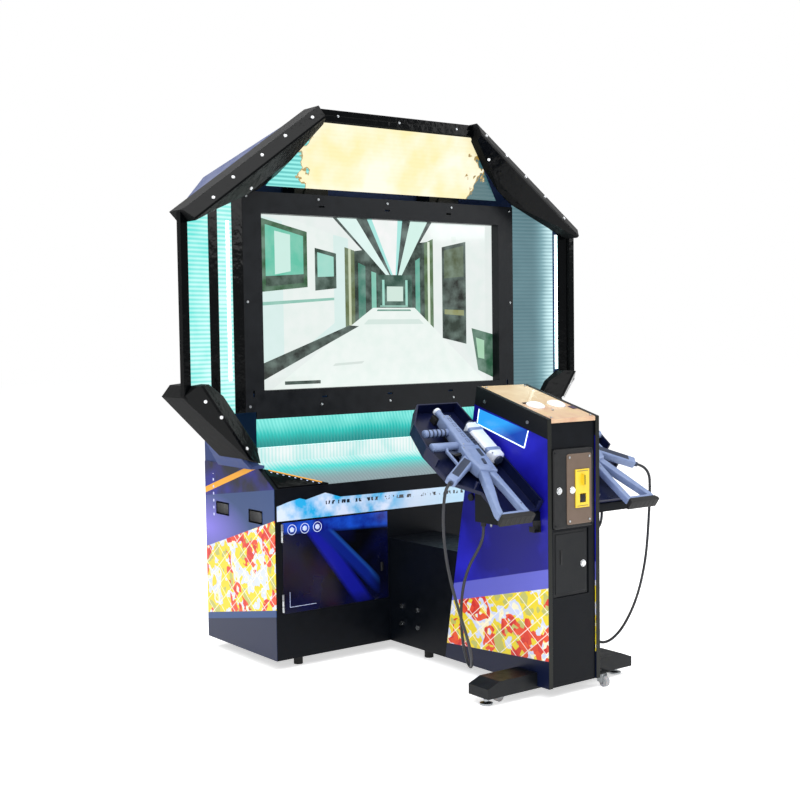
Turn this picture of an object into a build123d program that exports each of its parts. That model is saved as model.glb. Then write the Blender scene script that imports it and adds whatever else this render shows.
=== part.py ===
from build123d import *
import os
from math import atan2, hypot, pi, radians, tan

os.makedirs("parts", exist_ok=True)

# Light gun cabinet. Millimetres, +Z up, X = 0 is the plane of symmetry, the floor is Z = 0.
# The player stands on the -Y side and looks along +Y at the screen.

# ---------------------------------------------------------------- driving dimensions
base_width = 1320.0
base_depth = 550.0
floor_gap = 40.0            # underside of the boxes above the floor
base_front_height = 700.0   # top edge of the base's front face
base_top = 772.0            # top of the base box, where the hood starts
board = 18.0                # cabinet board
sheet = 2.0                 # printed side sheets

rim_half = 991.0            # half width of the hood's front rim
rim_low = 1064.0            # lower end of the rim's upright edge
rim_high = 1740.0           # upper end of the rim's upright edge
hood_top = 2165.0
hood_top_half = 406.0
hood_foot_half = 700.0      # half width of the rim's lower corners
rim_back = 100.0            # back of the rim, behind the base's front face
rim_depth = 30.0
flare_depth = 401.0         # where the side flare reaches the width of the base
hood_wall = 12.0
rear_slope = 0.704          # rearward run of the sloping back for each mm down
rear_slope_y = 300.0        # the sloping back at the height below
rear_slope_z = hood_top - 265.0

screen_half = 605.0         # visible half width of a 55 inch 16:9 screen
screen_low = 1070.0
screen_high = 1758.0
bezel_half = 690.0
bezel_low = 988.0
bezel_high = 1840.0
bezel_y = 150.0             # front face of the bezel, behind the base's front face
bezel_plate = 6.0
recess = 45.0               # depth of the screen opening

console_width = 250.0
console_reach = 936.0       # player's end of the console in front of the base
console_front_height = 984.0
console_rear_height = 1088.0
console_rear_top = 560.0    # rear end of the console's top
console_rear_foot = 357.0   # rear end of the console's foot
bridge_height = 460.0

gun_slope = 0.697           # rise of the gun trays towards the screen
gun_butt_y = 976.0          # butt of the gun in front of the base
gun_butt_z = 660.0
gun_length = 597.0

bar_half = 352.0            # crossbar under the console
bar_front = 875.0
bar_back = 770.0
bar_low = 32.0
bar_high = 88.0

running_fit = 0.05          # radial play of pins and shafts
gap = 1.5                   # play round doors
clear = 0.5                 # small clearance between moving pieces

front_reach = gun_butt_y + 14.0
base_front_y = (front_reach - base_depth - 6.0) / 2.0


def fy(y):
    """Y of a place given as a distance behind the base's front face."""
    return base_front_y + y


def outline(points, mode=Mode.ADD):
    """Closed face from a list of corners, in the sketch's own plane."""
    Polygon(*points, align=None, mode=mode)


def side_plane(x):
    """Plane whose local x is +Y and local y is +Z, looking along +X."""
    return Plane(origin=(x, 0, 0), x_dir=(0, 1, 0), z_dir=(1, 0, 0))


def front_plane(y):
    """Plane whose local x is +X and local y is +Z, extruding towards -Y."""
    return Plane(origin=(0, y, 0), x_dir=(1, 0, 0), z_dir=(0, -1, 0))


def box_between(x0, x1, y0, y1, z0, z1, mode=Mode.ADD):
    """Box given by its two opposite corners."""
    with Locations(((x0 + x1) / 2, (y0 + y1) / 2, (z0 + z1) / 2)):
        Box(x1 - x0, y1 - y0, z1 - z0, mode=mode)


def lying_cylinder(x, y0, y1, z, radius, mode=Mode.ADD):
    """Cylinder along Y between two y values."""
    with Locations(Location((x, (y0 + y1) / 2, z), (90, 0, 0))):
        Cylinder(radius, abs(y1 - y0), mode=mode)


def cross_cylinder(x0, x1, y, z, radius, mode=Mode.ADD):
    """Cylinder along X between two x values."""
    with Locations(Location(((x0 + x1) / 2, y, z), (0, 90, 0))):
        Cylinder(radius, abs(x1 - x0), mode=mode)


half_base = base_width / 2
inner_half = half_base - board

# ---------------------------------------------------------------- base cabinet
slope_top_y = 115.0         # where the base's sloping nose meets its top
door_left = -629.0
door_right = -131.0
door_low = 216.0
door_high = 570.0
rear_door_half = 400.0
rear_door_low = 160.0
rear_door_high = 690.0
handle_y = (141.0, 405.0)
handle_z = (582.0, 588.0)
handle_length = 92.0
handle_height = 40.0
inlet_x = 430.0
inlet_z = 120.0


def base_outline(y_back=base_depth):
    return [(fy(0), floor_gap), (fy(0), base_front_height), (fy(slope_top_y), base_top),
            (fy(y_back), base_top), (fy(y_back), floor_gap)]


with BuildPart() as base_cabinet:
    with BuildSketch(side_plane(-half_base)):
        outline(base_outline())
    extrude(amount=base_width)
    with BuildSketch(side_plane(-inner_half)):
        outline([(fy(board), floor_gap + board), (fy(board), base_top + 20), (fy(slope_top_y + 35), base_top + 20),
                 (fy(slope_top_y + 35), base_top - board), (fy(base_depth - board), base_top - board),
                 (fy(base_depth - board), floor_gap + board)])
    extrude(amount=2 * inner_half, mode=Mode.SUBTRACT)
    box_between(door_left, door_right, fy(-1), fy(board + 1), door_low, door_high, Mode.SUBTRACT)
    box_between(-rear_door_half, rear_door_half, fy(base_depth - board - 1), fy(base_depth + 1),
                rear_door_low, rear_door_high, Mode.SUBTRACT)
    box_between(inlet_x - 20, inlet_x + 20, fy(base_depth - board - 1), fy(base_depth + 1),
                inlet_z - 13, inlet_z + 13, Mode.SUBTRACT)
    for y, z in zip(handle_y, handle_z):
        with BuildSketch(side_plane(-half_base - 1)):
            with Locations((fy(y), z)):
                RectangleRounded(handle_length, handle_height, 8)
        extrude(amount=base_width + 2, mode=Mode.SUBTRACT)
base_cabinet.part.label = "base_cabinet"
export_step(base_cabinet.part, "parts/base_cabinet.step")

with BuildPart() as side_art_panels:
    for x in (-half_base - sheet, half_base):
        with BuildSketch(side_plane(x)):
            outline(base_outline())
            for y, z in zip(handle_y, handle_z):
                with Locations((fy(y), z)):
                    RectangleRounded(handle_length, handle_height, 8, mode=Mode.SUBTRACT)
        extrude(amount=sheet)
side_art_panels.part.label = "side_art_panels"
export_step(side_art_panels.part, "parts/side_art_panels.step")

banner_low = 572.0
banner_high = 640.0
banner_half = 651.0
with BuildPart() as front_banner:
    with BuildSketch(front_plane(fy(0))):
        outline([(-banner_half, banner_low + 5), (-banner_half, banner_high - 6), (-600, banner_high + 8),
                 (-548, banner_high + 18), (-520, banner_high + 10), (-430, banner_high + 30),
                 (-360, banner_high + 8), (0, banner_high + 4), (banner_half, banner_high), (banner_half, banner_low)])
    extrude(amount=3)
front_banner.part.label = "front_banner"
export_step(front_banner.part, "parts/front_banner.step")

door_thick = 12.0
with BuildPart() as front_service_door:
    box_between(door_left + gap, door_right - gap, fy(0), fy(door_thick), door_low + gap, door_high - gap)
    lying_cylinder(door_right - 40, fy(-4), fy(0), (door_low + door_high) / 2, 11)
front_service_door.part.label = "front_service_door"
export_step(front_service_door.part, "parts/front_service_door.step")

with BuildPart() as rear_door:
    box_between(-rear_door_half + gap, rear_door_half - gap, fy(base_depth - door_thick), fy(base_depth),
                rear_door_low + gap, rear_door_high - gap)
    lying_cylinder(rear_door_half - 40, fy(base_depth), fy(base_depth + 6), (rear_door_low + rear_door_high) / 2, 11)
    for row in range(5):
        box_between(-150, 150, fy(base_depth - door_thick - 1), fy(base_depth + 1),
                    rear_door_high - 120 + row * 16, rear_door_high - 114 + row * 16, Mode.SUBTRACT)
rear_door.part.label = "rear_door"
export_step(rear_door.part, "parts/rear_door.step")

foot_radius = 18.0
with BuildPart() as base_feet:
    for x in (-530, 530):
        for y in (60, base_depth - 60):
            with Locations((x, fy(y), floor_gap / 2)):
                Cylinder(foot_radius, floor_gap)
    for x in (-75, 75):
        with Locations((x, fy(-190), floor_gap / 2)):
            Cylinder(foot_radius, floor_gap)
base_feet.part.label = "base_feet"
export_step(base_feet.part, "parts/base_feet.step")

base_floor = floor_gap + board
with BuildPart() as game_computer:
    box_between(-320, 80, fy(190), fy(430), base_floor, base_floor + 190)
    fillet(game_computer.edges().filter_by(Axis.Z), 6)
game_computer.part.label = "game_computer"
export_step(game_computer.part, "parts/game_computer.step")

with BuildPart() as power_supply:
    box_between(230, 400, fy(200), fy(420), base_floor, base_floor + 90)
    fillet(power_supply.edges().filter_by(Axis.Z), 4)
power_supply.part.label = "power_supply"
export_step(power_supply.part, "parts/power_supply.step")

with BuildPart() as mains_inlet:
    box_between(inlet_x - 19.5, inlet_x + 19.5, fy(base_depth - 34), fy(base_depth), inlet_z - 12.5, inlet_z + 12.5)
    box_between(inlet_x - 30, inlet_x + 30, fy(base_depth), fy(base_depth + 4), inlet_z - 18, inlet_z + 18)
    box_between(inlet_x - 12, inlet_x + 12, fy(base_depth - 16), fy(base_depth + 5), inlet_z - 8, inlet_z + 8,
                Mode.SUBTRACT)
mains_inlet.part.label = "mains_inlet"
export_step(mains_inlet.part, "parts/mains_inlet.step")


# ---------------------------------------------------------------- hood
def octagon(inset=0.0):
    """Front view of the hood, as (x, z) corners, moved inwards by inset."""
    rise = atan2(hood_top - rim_high, rim_half - hood_top_half)
    fall = atan2(rim_low - base_top, rim_half - hood_foot_half)
    half = rim_half - inset
    high = rim_high - inset * tan(rise / 2)
    top_half = hood_top_half - inset * tan(rise / 2)
    low = rim_low + inset * tan(fall / 2)
    foot_half = hood_foot_half - inset * tan(fall / 2)
    right = [(foot_half, base_top + inset), (half, low), (half, high), (top_half, hood_top - inset)]
    return [(-x, z) for x, z in reversed(right)] + right


def slope_at(z, inset=0.0):
    """Y of the sloping back at a height, measured behind the base's front face."""
    return rear_slope_y + (rear_slope_z - z) * rear_slope - inset * hypot(1, rear_slope)


def hood_block(inset, y_front):
    """Closed block of the hood's form: octagon in front, flare in plan, sloping back."""
    flare = hypot(rim_half - half_base, flare_depth - rim_back)
    side = inset * flare / (flare_depth - rim_back)
    z_kink = rear_slope_z - (base_depth - rear_slope_y) / rear_slope
    with BuildPart() as block:
        with BuildSketch(front_plane(fy(base_depth - inset))):
            outline(octagon(inset))
        extrude(amount=base_depth - inset - y_front)
        with BuildSketch(Plane.XY):
            outline([(-rim_half - 200, fy(y_front - 1)), (-rim_half - 200, fy(rim_back)),
                     (-rim_half + side, fy(rim_back)), (-half_base + inset, fy(flare_depth - inset * 0.4)),
                     (-half_base + inset, fy(base_depth + 1)), (half_base - inset, fy(base_depth + 1)),
                     (half_base - inset, fy(flare_depth - inset * 0.4)), (rim_half - side, fy(rim_back)),
                     (rim_half + 200, fy(rim_back)), (rim_half + 200, fy(y_front - 1))])
        extrude(amount=hood_top + 100, mode=Mode.INTERSECT)
        with BuildSketch(side_plane(-rim_half - 10)):
            outline([(fy(y_front - 5), base_top - 100), (fy(base_depth + 5), base_top - 100),
                     (fy(base_depth + 5), z_kink - inset), (fy(slope_at(z_kink, inset)), z_kink - inset * 0.3),
                     (fy(slope_at(hood_top + 50, inset)), hood_top + 50), (fy(y_front - 5), hood_top + 50)])
        extrude(amount=2 * rim_half + 20, mode=Mode.INTERSECT)
    return block.part


hood_outer = hood_block(0.0, rim_back)
hood_inner = hood_block(hood_wall, rim_back - 1)
shelf_back = 150.0          # room for the lit shelf in front of the hood's floor
with BuildPart() as hood_shell:
    add(hood_outer)
    add(hood_inner, mode=Mode.SUBTRACT)
    box_between(-inner_half, inner_half, fy(rim_back - 1), fy(shelf_back), base_top - 1, bezel_low, Mode.SUBTRACT)
    for row in range(6):
        box_between(-200, 200, fy(base_depth - hood_wall - 2), fy(base_depth + 2), 1050 + row * 24, 1060 + row * 24,
                    Mode.SUBTRACT)
hood_shell.part.label = "hood_shell"
export_step(hood_shell.part, "parts/hood_shell.step")

rim_face = 28.0             # width of the rim seen from the front
top_bar = 48.0
upright_left = (814.0, 858.0)
upright_right = (918.0, 960.0)
inner_strip = 743.0         # dark strip next to the bezel, left side only
ribbed_right = 889.0        # outer end of the right wing's ribbed panel


def wing_y(x):
    """Y of the side wings' face, which runs from the bezel's edge forward to the rim."""
    return bezel_y - (abs(x) - bezel_half) * (bezel_y - rim_back + 14) / (rim_half - rim_face - bezel_half)


def wing_set(strips, thick, proud=0.0):
    """Strips of the side wings, cut to the hood's octagon and to the bezel's height."""
    with BuildPart() as wings:
        for x0, x1 in strips:
            with BuildSketch(Plane.XY):
                outline([(x0, fy(wing_y(x0) - proud)), (x1, fy(wing_y(x1) - proud)),
                         (x1, fy(wing_y(x1) + thick)), (x0, fy(wing_y(x0) + thick))])
            extrude(amount=hood_top)
        with BuildSketch(front_plane(fy(rim_back + 200))):
            outline(octagon(rim_face + 1))
        extrude(amount=400, mode=Mode.INTERSECT)
        box_between(-rim_half, rim_half, fy(-200), fy(400), bezel_low, bezel_high + 20, Mode.INTERSECT)
    return wings.part


panel_thick = 5.0
wing_panels_part = wing_set([(-upright_left[1] - 100, -upright_left[1]), (-upright_left[0], -inner_strip),
                             (bezel_half, ribbed_right)], panel_thick)
uprights_part = wing_set([(-upright_left[1], -upright_left[0]), (-inner_strip, -bezel_half), upright_right],
                         panel_thick, 2.0)

with BuildPart() as hood_front_frame:
    with BuildSketch(front_plane(fy(rim_back))):
        outline(octagon())
        outline(octagon(rim_face), Mode.SUBTRACT)
    extrude(amount=rim_depth)
    box_between(-hood_foot_half - 60, hood_foot_half + 60, fy(-10), fy(rim_back + 1), base_top - 1, bezel_low - 100,
                Mode.SUBTRACT)
    box_between(-hood_top_half, hood_top_half, fy(rim_back - rim_depth - 10), fy(rim_back), hood_top - top_bar,
                hood_top - rim_face + 4)
    add(uprights_part)
hood_front_frame.part.label = "hood_front_frame"
export_step(hood_front_frame.part, "parts/hood_front_frame.step")

with BuildPart() as wing_panels:
    add(wing_panels_part)
wing_panels.part.label = "wing_panels"
export_step(wing_panels.part, "parts/wing_panels.step")

slot_x = 325.0
rail_low = 960.0            # lower edge of the plain rail under the bezel
with BuildPart() as screen_bezel:
    box_between(-bezel_half, bezel_half, fy(bezel_y), fy(bezel_y + bezel_plate), bezel_low, bezel_high)
    box_between(-screen_half - 6, screen_half + 6, fy(bezel_y + bezel_plate), fy(bezel_y + recess),
                screen_low - 6, screen_high + 6)
    box_between(-screen_half, screen_half, fy(bezel_y - 1), fy(bezel_y + recess + 1), screen_low, screen_high,
                Mode.SUBTRACT)
    for x in (-slot_x, 0, slot_x):
        for z in (screen_high + 36, screen_low - 34):
            box_between(x - 13, x + 13, fy(bezel_y - 1), fy(bezel_y + bezel_plate + 1), z - 3.5, z + 3.5, Mode.SUBTRACT)
    for x in (-bezel_half + 38, bezel_half - 38):
        box_between(x - 4, x + 4, fy(bezel_y - 1), fy(bezel_y + bezel_plate + 1), 1046, 1072, Mode.SUBTRACT)
    box_between(-inner_half + 1, inner_half - 1, fy(bezel_y), fy(bezel_y + bezel_plate), rail_low, bezel_low)
screen_bezel.part.label = "screen_bezel"
export_step(screen_bezel.part, "parts/screen_bezel.step")

glass_y = bezel_y + recess
glass = 5.0
with BuildPart() as screen_glass:
    box_between(-screen_half - 14, screen_half + 14, fy(glass_y), fy(glass_y + glass),
                screen_low - 14, screen_high + 14)
screen_glass.part.label = "screen_glass"
export_step(screen_glass.part, "parts/screen_glass.step")

with BuildPart() as lcd_monitor:
    box_between(-screen_half - 12, screen_half + 12, fy(glass_y + glass), fy(glass_y + 60),
                screen_low - 12, screen_high + 12)
    box_between(-300, 300, fy(glass_y + 60), fy(glass_y + 90), screen_low + 120, screen_high - 220)
lcd_monitor.part.label = "lcd_monitor"
export_step(lcd_monitor.part, "parts/lcd_monitor.step")

marquee_low = 1862.0
marquee_high = hood_top - 53.0
marquee_low_y = 140.0
marquee_high_y = 68.0
marquee_low_half = 585.0
marquee_high_half = hood_top_half - 21.0
marquee_rise = hypot(marquee_high - marquee_low, marquee_low_y - marquee_high_y)
marquee_plane = Plane(origin=(0, fy(marquee_low_y), marquee_low), x_dir=(1, 0, 0),
                      z_dir=(0, -(marquee_high - marquee_low), -(marquee_low_y - marquee_high_y)))
with BuildPart() as marquee_panel:
    with BuildSketch(marquee_plane):
        outline([(-marquee_low_half, 0), (marquee_low_half, 0), (marquee_high_half, marquee_rise),
                 (-marquee_high_half, marquee_rise)])
    extrude(amount=-panel_thick)
marquee_panel.part.label = "marquee_panel"
export_step(marquee_panel.part, "parts/marquee_panel.step")

# corner trims: a ridge along each diagonal of the octagon, sloping inwards to the panels
trim_front = 10.0
trim_back = 150.0
ridge_in = 45.0             # ridge's distance from the diagonal edge
trim_face = 50.0            # where the outer facet meets the hood's side
upper_trim_outline = [(-marquee_high_half - 4, marquee_high - 14), (-hood_top_half + 6, hood_top + 6),
                      (-rim_half - 4, rim_high + 4), (-rim_half + 34, rim_high - 36), (-857, 1752), (-742, 1800),
                      (-marquee_low_half - 8, marquee_low + 2)]


def ridge_block(start, end, depth_in):
    """Wedge along a diagonal, given by its outer edge; its ridge stands at trim_front."""
    dx = end[0] - start[0]
    dz = end[1] - start[1]
    run = hypot(dx, dz)
    along = Plane(origin=(start[0] - dx / run * 80, fy(0), start[1] - dz / run * 80),
                  x_dir=(0, -1, 0), z_dir=(dx / run, 0, dz / run))
    with BuildPart() as wedge:
        with BuildSketch(along):
            outline([(-trim_back, -8), (-trim_face, -8), (-trim_front, ridge_in - 8), (-trim_front, ridge_in),
                     (-trim_front - depth_in * 0.56, ridge_in + depth_in * 0.55),
                     (-trim_back, ridge_in + depth_in)])
        extrude(amount=run + 160)
    return wedge.part


upper_wedge = ridge_block((-rim_half, rim_high), (-hood_top_half, hood_top), 110.0)
with BuildPart() as corner_trims_upper:
    with BuildSketch(front_plane(fy(trim_back))):
        outline(upper_trim_outline)
    extrude(amount=trim_back)
    add(upper_wedge, mode=Mode.INTERSECT)
    mirror(about=Plane.YZ)
    add(hood_outer, mode=Mode.SUBTRACT)
    for neighbour in (hood_front_frame, wing_panels, screen_bezel, marquee_panel):
        add(neighbour.part, mode=Mode.SUBTRACT)
corner_trims_upper.part.label = "corner_trims_upper"
export_step(corner_trims_upper.part, "parts/corner_trims_upper.step")

lower_trim_outline = [(-905, 1108), (-960, 1103), (-rim_half - 4, rim_low - 4), (-756, 820), (-bezel_half - 2, 800),
                      (-bezel_half - 2, bezel_low - 4), (-770, 1022)]
lower_trim_back = 250.0
with BuildPart() as corner_trims_lower:
    with BuildSketch(front_plane(fy(lower_trim_back))):
        outline(lower_trim_outline)
    extrude(amount=lower_trim_back)
    # outer edge of the front face leans back from the ridge to the hood's rim
    with BuildSketch(Plane(origin=(-934, fy(0), 1087), x_dir=(0, -1, 0), z_dir=(182, 0, -262))):
        outline([(-lower_trim_back, -70), (-70, -70), (-20, -8), (-20, 4), (-75, 62), (-150, 110),
                 (-lower_trim_back, 170)])
    extrude(amount=420, both=True, mode=Mode.INTERSECT)
    mirror(about=Plane.YZ)
    add(hood_outer, mode=Mode.SUBTRACT)
    for neighbour in (hood_front_frame, wing_panels, screen_bezel):
        add(neighbour.part, mode=Mode.SUBTRACT)
corner_trims_lower.part.label = "corner_trims_lower"
export_step(corner_trims_lower.part, "parts/corner_trims_lower.step")

# ---------------------------------------------------------------- lit shelf under the screen
lip_y = 144.0
lip_low = 790.0
seam_z = 848.0              # where the upper lit panel meets the shelf
lit_half = inner_half
orange_x = 408.0            # corner pieces reach this far from the middle at the nose
orange_y = 112.0
shelf_nose = 2.0
shelf_rise = 2.0            # shelf's underside above the base's front edge


def shelf_section(thick):
    """Bent acrylic shelf: an upright lip, then a slope down to the base's front edge."""
    nose = base_front_height + shelf_rise
    return [(fy(lip_y), seam_z), (fy(lip_y), lip_low), (fy(shelf_nose), nose + thick),
            (fy(shelf_nose), nose), (fy(lip_y + thick), lip_low - 1), (fy(lip_y + thick), seam_z)]


with BuildPart() as shelf_blank:
    with BuildSketch(side_plane(-lit_half + 1)):
        outline(shelf_section(panel_thick))
    extrude(amount=2 * lit_half - 2)

with BuildPart() as corner_cutter:
    with BuildSketch(Plane.XY.offset(base_front_height - 60)):
        for s in (-1, 1):
            outline([(s * (lit_half + 5), fy(orange_y)), (s * orange_x, fy(0)), (s * (lit_half + 5), fy(0))])
    extrude(amount=160)

with BuildPart() as lower_light_panels:
    add(shelf_blank.part)
    add(corner_cutter.part, mode=Mode.SUBTRACT)
    box_between(-lit_half + 1, lit_half - 1, fy(bezel_y + 2), fy(bezel_y + 2 + panel_thick), seam_z, rail_low)
lower_light_panels.part.label = "lower_light_panels"
export_step(lower_light_panels.part, "parts/lower_light_panels.step")

with BuildPart() as shelf_corners:
    add(shelf_blank.part)
    add(corner_cutter.part, mode=Mode.INTERSECT)
shelf_corners.part.label = "shelf_corners"
export_step(shelf_corners.part, "parts/shelf_corners.step")

led_low = 1114.0
led_high = 1720.0
with BuildPart() as led_strips:
    box_between(-772, -760, fy(wing_y(766) - 6), fy(wing_y(766) - 2), led_low, led_high)
    box_between(896, 910, fy(wing_y(903) - 6), fy(wing_y(903) - 2), led_low, led_high)
    box_between(-lit_half + 20, lit_half - 20, fy(bezel_y + 12), fy(bezel_y + 20), seam_z - 6, seam_z + 6)
    cross_cylinder(-430, 430, fy(marquee_low_y), (marquee_low + marquee_high) / 2 + 13, 13)
led_strips.part.label = "led_strips"
export_step(led_strips.part, "parts/led_strips.step")

with BuildPart() as speakers:
    for x in (-420, 260):
        box_between(x, x + 160, fy(200), fy(290), 1795, 1885)
    for x in (-340, 340):
        lying_cylinder(x, fy(192), fy(200), 1840, 40)
speakers.part.label = "speakers"
export_step(speakers.part, "parts/speakers.step")

# ---------------------------------------------------------------- bridge and console
console_half = console_width / 2
panel_inner = console_half - board
top_rise = (console_rear_height - console_front_height) / (console_reach - console_rear_top)
rear_lean = (console_rear_top - console_rear_foot) / (console_rear_height - floor_gap)
carcass = 12.0              # wall of the console and bridge
front_set = 6.0             # side panels stand this far in front of the end face
plate = 15.0                # tan top plate


def console_top_at(y, drop=0.0):
    """Height of the console's sloping top at a distance y behind the base's front face."""
    return console_front_height + (y + console_reach) * top_rise - drop * hypot(1, top_rise)


def console_rear_at(z, inset=0.0):
    """Leaning rear edge of the console at a height."""
    return -console_rear_foot - (z - floor_gap) * rear_lean - inset * hypot(1, rear_lean)


def console_section(front, drop=0.0, inset=0.0, low=floor_gap):
    """Side view of the console, as (y, z) corners."""
    top_base = console_top_at(console_rear_at(floor_gap, inset), drop)
    high = (top_base + floor_gap * rear_lean * top_rise) / (1 + rear_lean * top_rise)
    return [(fy(front), low), (fy(front), console_top_at(front, drop)),
            (fy(console_rear_at(high, inset)), high), (fy(console_rear_at(low, inset)), low)]


window_corners = [(-576, 1005), (-564, 950), (-819, 878), (-840, 939)]
window_depth = 6.0
coin_x0, coin_x1 = -(panel_inner - 3.0), 90.0
coin_z0, coin_z1 = 597.0, 877.0
cash_x0, cash_x1 = -95.0, 75.0
cash_z0, cash_z1 = 355.0, 589.0
coin_hole = (-92.0, 84.0, 612.0, 862.0)
end_face = -(console_reach - front_set)
button_x = 50.0
button_y = 146.0            # up the slope from the player's end
button_radius = 26.0

with BuildPart() as bridge_box:
    with BuildSketch(side_plane(-console_half)):
        outline([(fy(0), floor_gap), (fy(0), bridge_height), (fy(console_rear_at(bridge_height)), bridge_height),
                 (fy(console_rear_at(floor_gap)), floor_gap)])
    extrude(amount=console_width)
    with BuildSketch(side_plane(-console_half + carcass)):
        outline([(fy(-carcass), floor_gap + carcass), (fy(-carcass), bridge_height - carcass),
                 (fy(console_rear_at(bridge_height) + carcass), bridge_height - carcass),
                 (fy(console_rear_at(floor_gap) + carcass), floor_gap + carcass)])
    extrude(amount=console_width - 2 * carcass, mode=Mode.SUBTRACT)
bridge_box.part.label = "bridge_box"
export_step(bridge_box.part, "parts/bridge_box.step")

with BuildPart() as console_side_panels:
    for x in (-console_half, panel_inner):
        with BuildSketch(side_plane(x)):
            outline(console_section(-console_reach))
        extrude(amount=board)
    box_between(-console_half - 1, console_half + 1, fy(-bar_front), fy(-bar_back), floor_gap - 5, bar_high,
                Mode.SUBTRACT)
    for x in (-console_half, console_half - window_depth):
        with BuildSketch(side_plane(x)):
            outline([(fy(y), z) for y, z in window_corners])
        extrude(amount=window_depth, mode=Mode.SUBTRACT)
console_side_panels.part.label = "console_side_panels"
export_step(console_side_panels.part, "parts/console_side_panels.step")

with BuildPart() as console_windows:
    for x in (-console_half - 2, console_half - window_depth):
        with BuildSketch(side_plane(x)):
            outline([(fy(y), z) for y, z in window_corners])
        extrude(amount=window_depth + 2)
console_windows.part.label = "console_windows"
export_step(console_windows.part, "parts/console_windows.step")

slope_plane = Plane(origin=(0, fy(-console_reach), console_front_height), x_dir=(1, 0, 0), z_dir=(0, -top_rise, 1))
with BuildPart() as console_body:
    with BuildSketch(side_plane(-panel_inner)):
        outline(console_section(end_face, plate))
    extrude(amount=2 * panel_inner)
    with BuildSketch(side_plane(-panel_inner + carcass)):
        outline(console_section(end_face + carcass, plate + carcass, carcass, bar_high + carcass))
    extrude(amount=2 * (panel_inner - carcass), mode=Mode.SUBTRACT)
    box_between(-console_half - 1, console_half + 1, fy(-bar_front), fy(-bar_back), floor_gap - 5, bar_high,
                Mode.SUBTRACT)
    box_between(coin_hole[0], coin_hole[1], fy(end_face - 1), fy(end_face + carcass + 1), coin_hole[2], coin_hole[3],
                Mode.SUBTRACT)
    box_between(cash_x0, cash_x1, fy(end_face - 1), fy(end_face + carcass + 1), cash_z0, cash_z1, Mode.SUBTRACT)
    with Locations(slope_plane):
        with Locations((-button_x, button_y, -25), (button_x, button_y, -25)):
            Cylinder(button_radius + 2, 60, mode=Mode.SUBTRACT)
    box_between(-panel_inner + carcass, panel_inner - carcass, fy(-910), fy(-740), 338, 350)
console_body.part.label = "console_body"
export_step(console_body.part, "parts/console_body.step")

with BuildPart() as console_top:
    with BuildSketch(side_plane(-panel_inner)):
        outline([(fy(-console_reach + 1), console_top_at(-console_reach + 1, 1)),
                 (fy(-console_rear_top), console_top_at(-console_rear_top, 1)),
                 (fy(-console_rear_top), console_top_at(-console_rear_top, plate)),
                 (fy(-console_reach + 1), console_top_at(-console_reach + 1, plate))])
    extrude(amount=2 * panel_inner)
    with Locations(slope_plane):
        with Locations((-button_x, button_y, 1), (button_x, button_y, 1)):
            Cylinder(button_radius + 6, 4)
            Cylinder(button_radius + clear, 60, mode=Mode.SUBTRACT)
console_top.part.label = "console_top"
export_step(console_top.part, "parts/console_top.step")

for name, x in (("start_button_left", -button_x), ("start_button_right", button_x)):
    with BuildPart() as start_button:
        with Locations(slope_plane):
            with Locations((x, button_y, -5)):
                Cylinder(button_radius, 30)
        fillet(start_button.edges().filter_by(GeomType.CIRCLE).sort_by(Axis.Z)[-1], 6)
    start_button.part.label = name
    export_step(start_button.part, f"parts/{name}.step")

coin_front = end_face - 12
plate_x0, plate_x1 = -41.0, 77.0
plate_z0, plate_z1 = 610.0, 857.0
lock_radius = 9.0
coin_lock_x, coin_lock_z = -77.0, 732.0
with BuildPart() as coin_door_frame:
    with BuildSketch(front_plane(fy(end_face))):
        with Locations(((coin_x0 + coin_x1) / 2, (coin_z0 + coin_z1) / 2)):
            RectangleRounded(coin_x1 - coin_x0, coin_z1 - coin_z0, 14)
        with Locations(((plate_x0 + plate_x1) / 2, (plate_z0 + plate_z1) / 2)):
            RectangleRounded(plate_x1 - plate_x0 + 2, plate_z1 - plate_z0 + 2, 9, mode=Mode.SUBTRACT)
        with Locations((coin_lock_x, coin_lock_z)):
            Circle(lock_radius + running_fit, mode=Mode.SUBTRACT)
    extrude(amount=12)
    fillet(coin_door_frame.faces().sort_by(Axis.Y)[0].outer_wire().edges(), 5)
coin_door_frame.part.label = "coin_door_frame"
export_step(coin_door_frame.part, "parts/coin_door_frame.step")

entry_x0, entry_x1, entry_z0, entry_z1 = -4.0, 62.0, 667.0, 802.0
reject_z = 731.0
with BuildPart() as coin_plate:
    with BuildSketch(front_plane(fy(end_face))):
        with Locations(((plate_x0 + plate_x1) / 2, (plate_z0 + plate_z1) / 2)):
            RectangleRounded(plate_x1 - plate_x0 + 2, plate_z1 - plate_z0 + 2, 9)
        with Locations(((entry_x0 + entry_x1) / 2, (entry_z0 + entry_z1) / 2)):
            Rectangle(entry_x1 - entry_x0, entry_z1 - entry_z0, mode=Mode.SUBTRACT)
        with Locations((-17, reject_z)):
            Circle(9 + clear, mode=Mode.SUBTRACT)
    extrude(amount=15)
    fillet(coin_plate.faces().sort_by(Axis.Y)[0].outer_wire().edges(), 3)
coin_plate.part.label = "coin_plate"
export_step(coin_plate.part, "parts/coin_plate.step")

with BuildPart() as coin_entry:
    box_between(entry_x0, entry_x1, fy(end_face - 19), fy(end_face), entry_z0, entry_z1)
    box_between(26, 34, fy(end_face - 30), fy(end_face), 745, 785)
    box_between(28, 32, fy(end_face - 31), fy(end_face + 1), 748, 782, Mode.SUBTRACT)
    box_between(16, 46, fy(end_face - 20), fy(end_face - 4), 684, 716, Mode.SUBTRACT)
coin_entry.part.label = "coin_entry"
export_step(coin_entry.part, "parts/coin_entry.step")

with BuildPart() as reject_button:
    lying_cylinder(-17, fy(end_face - 21), fy(end_face - 1), reject_z, 9)
reject_button.part.label = "reject_button"
export_step(reject_button.part, "parts/reject_button.step")

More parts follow.
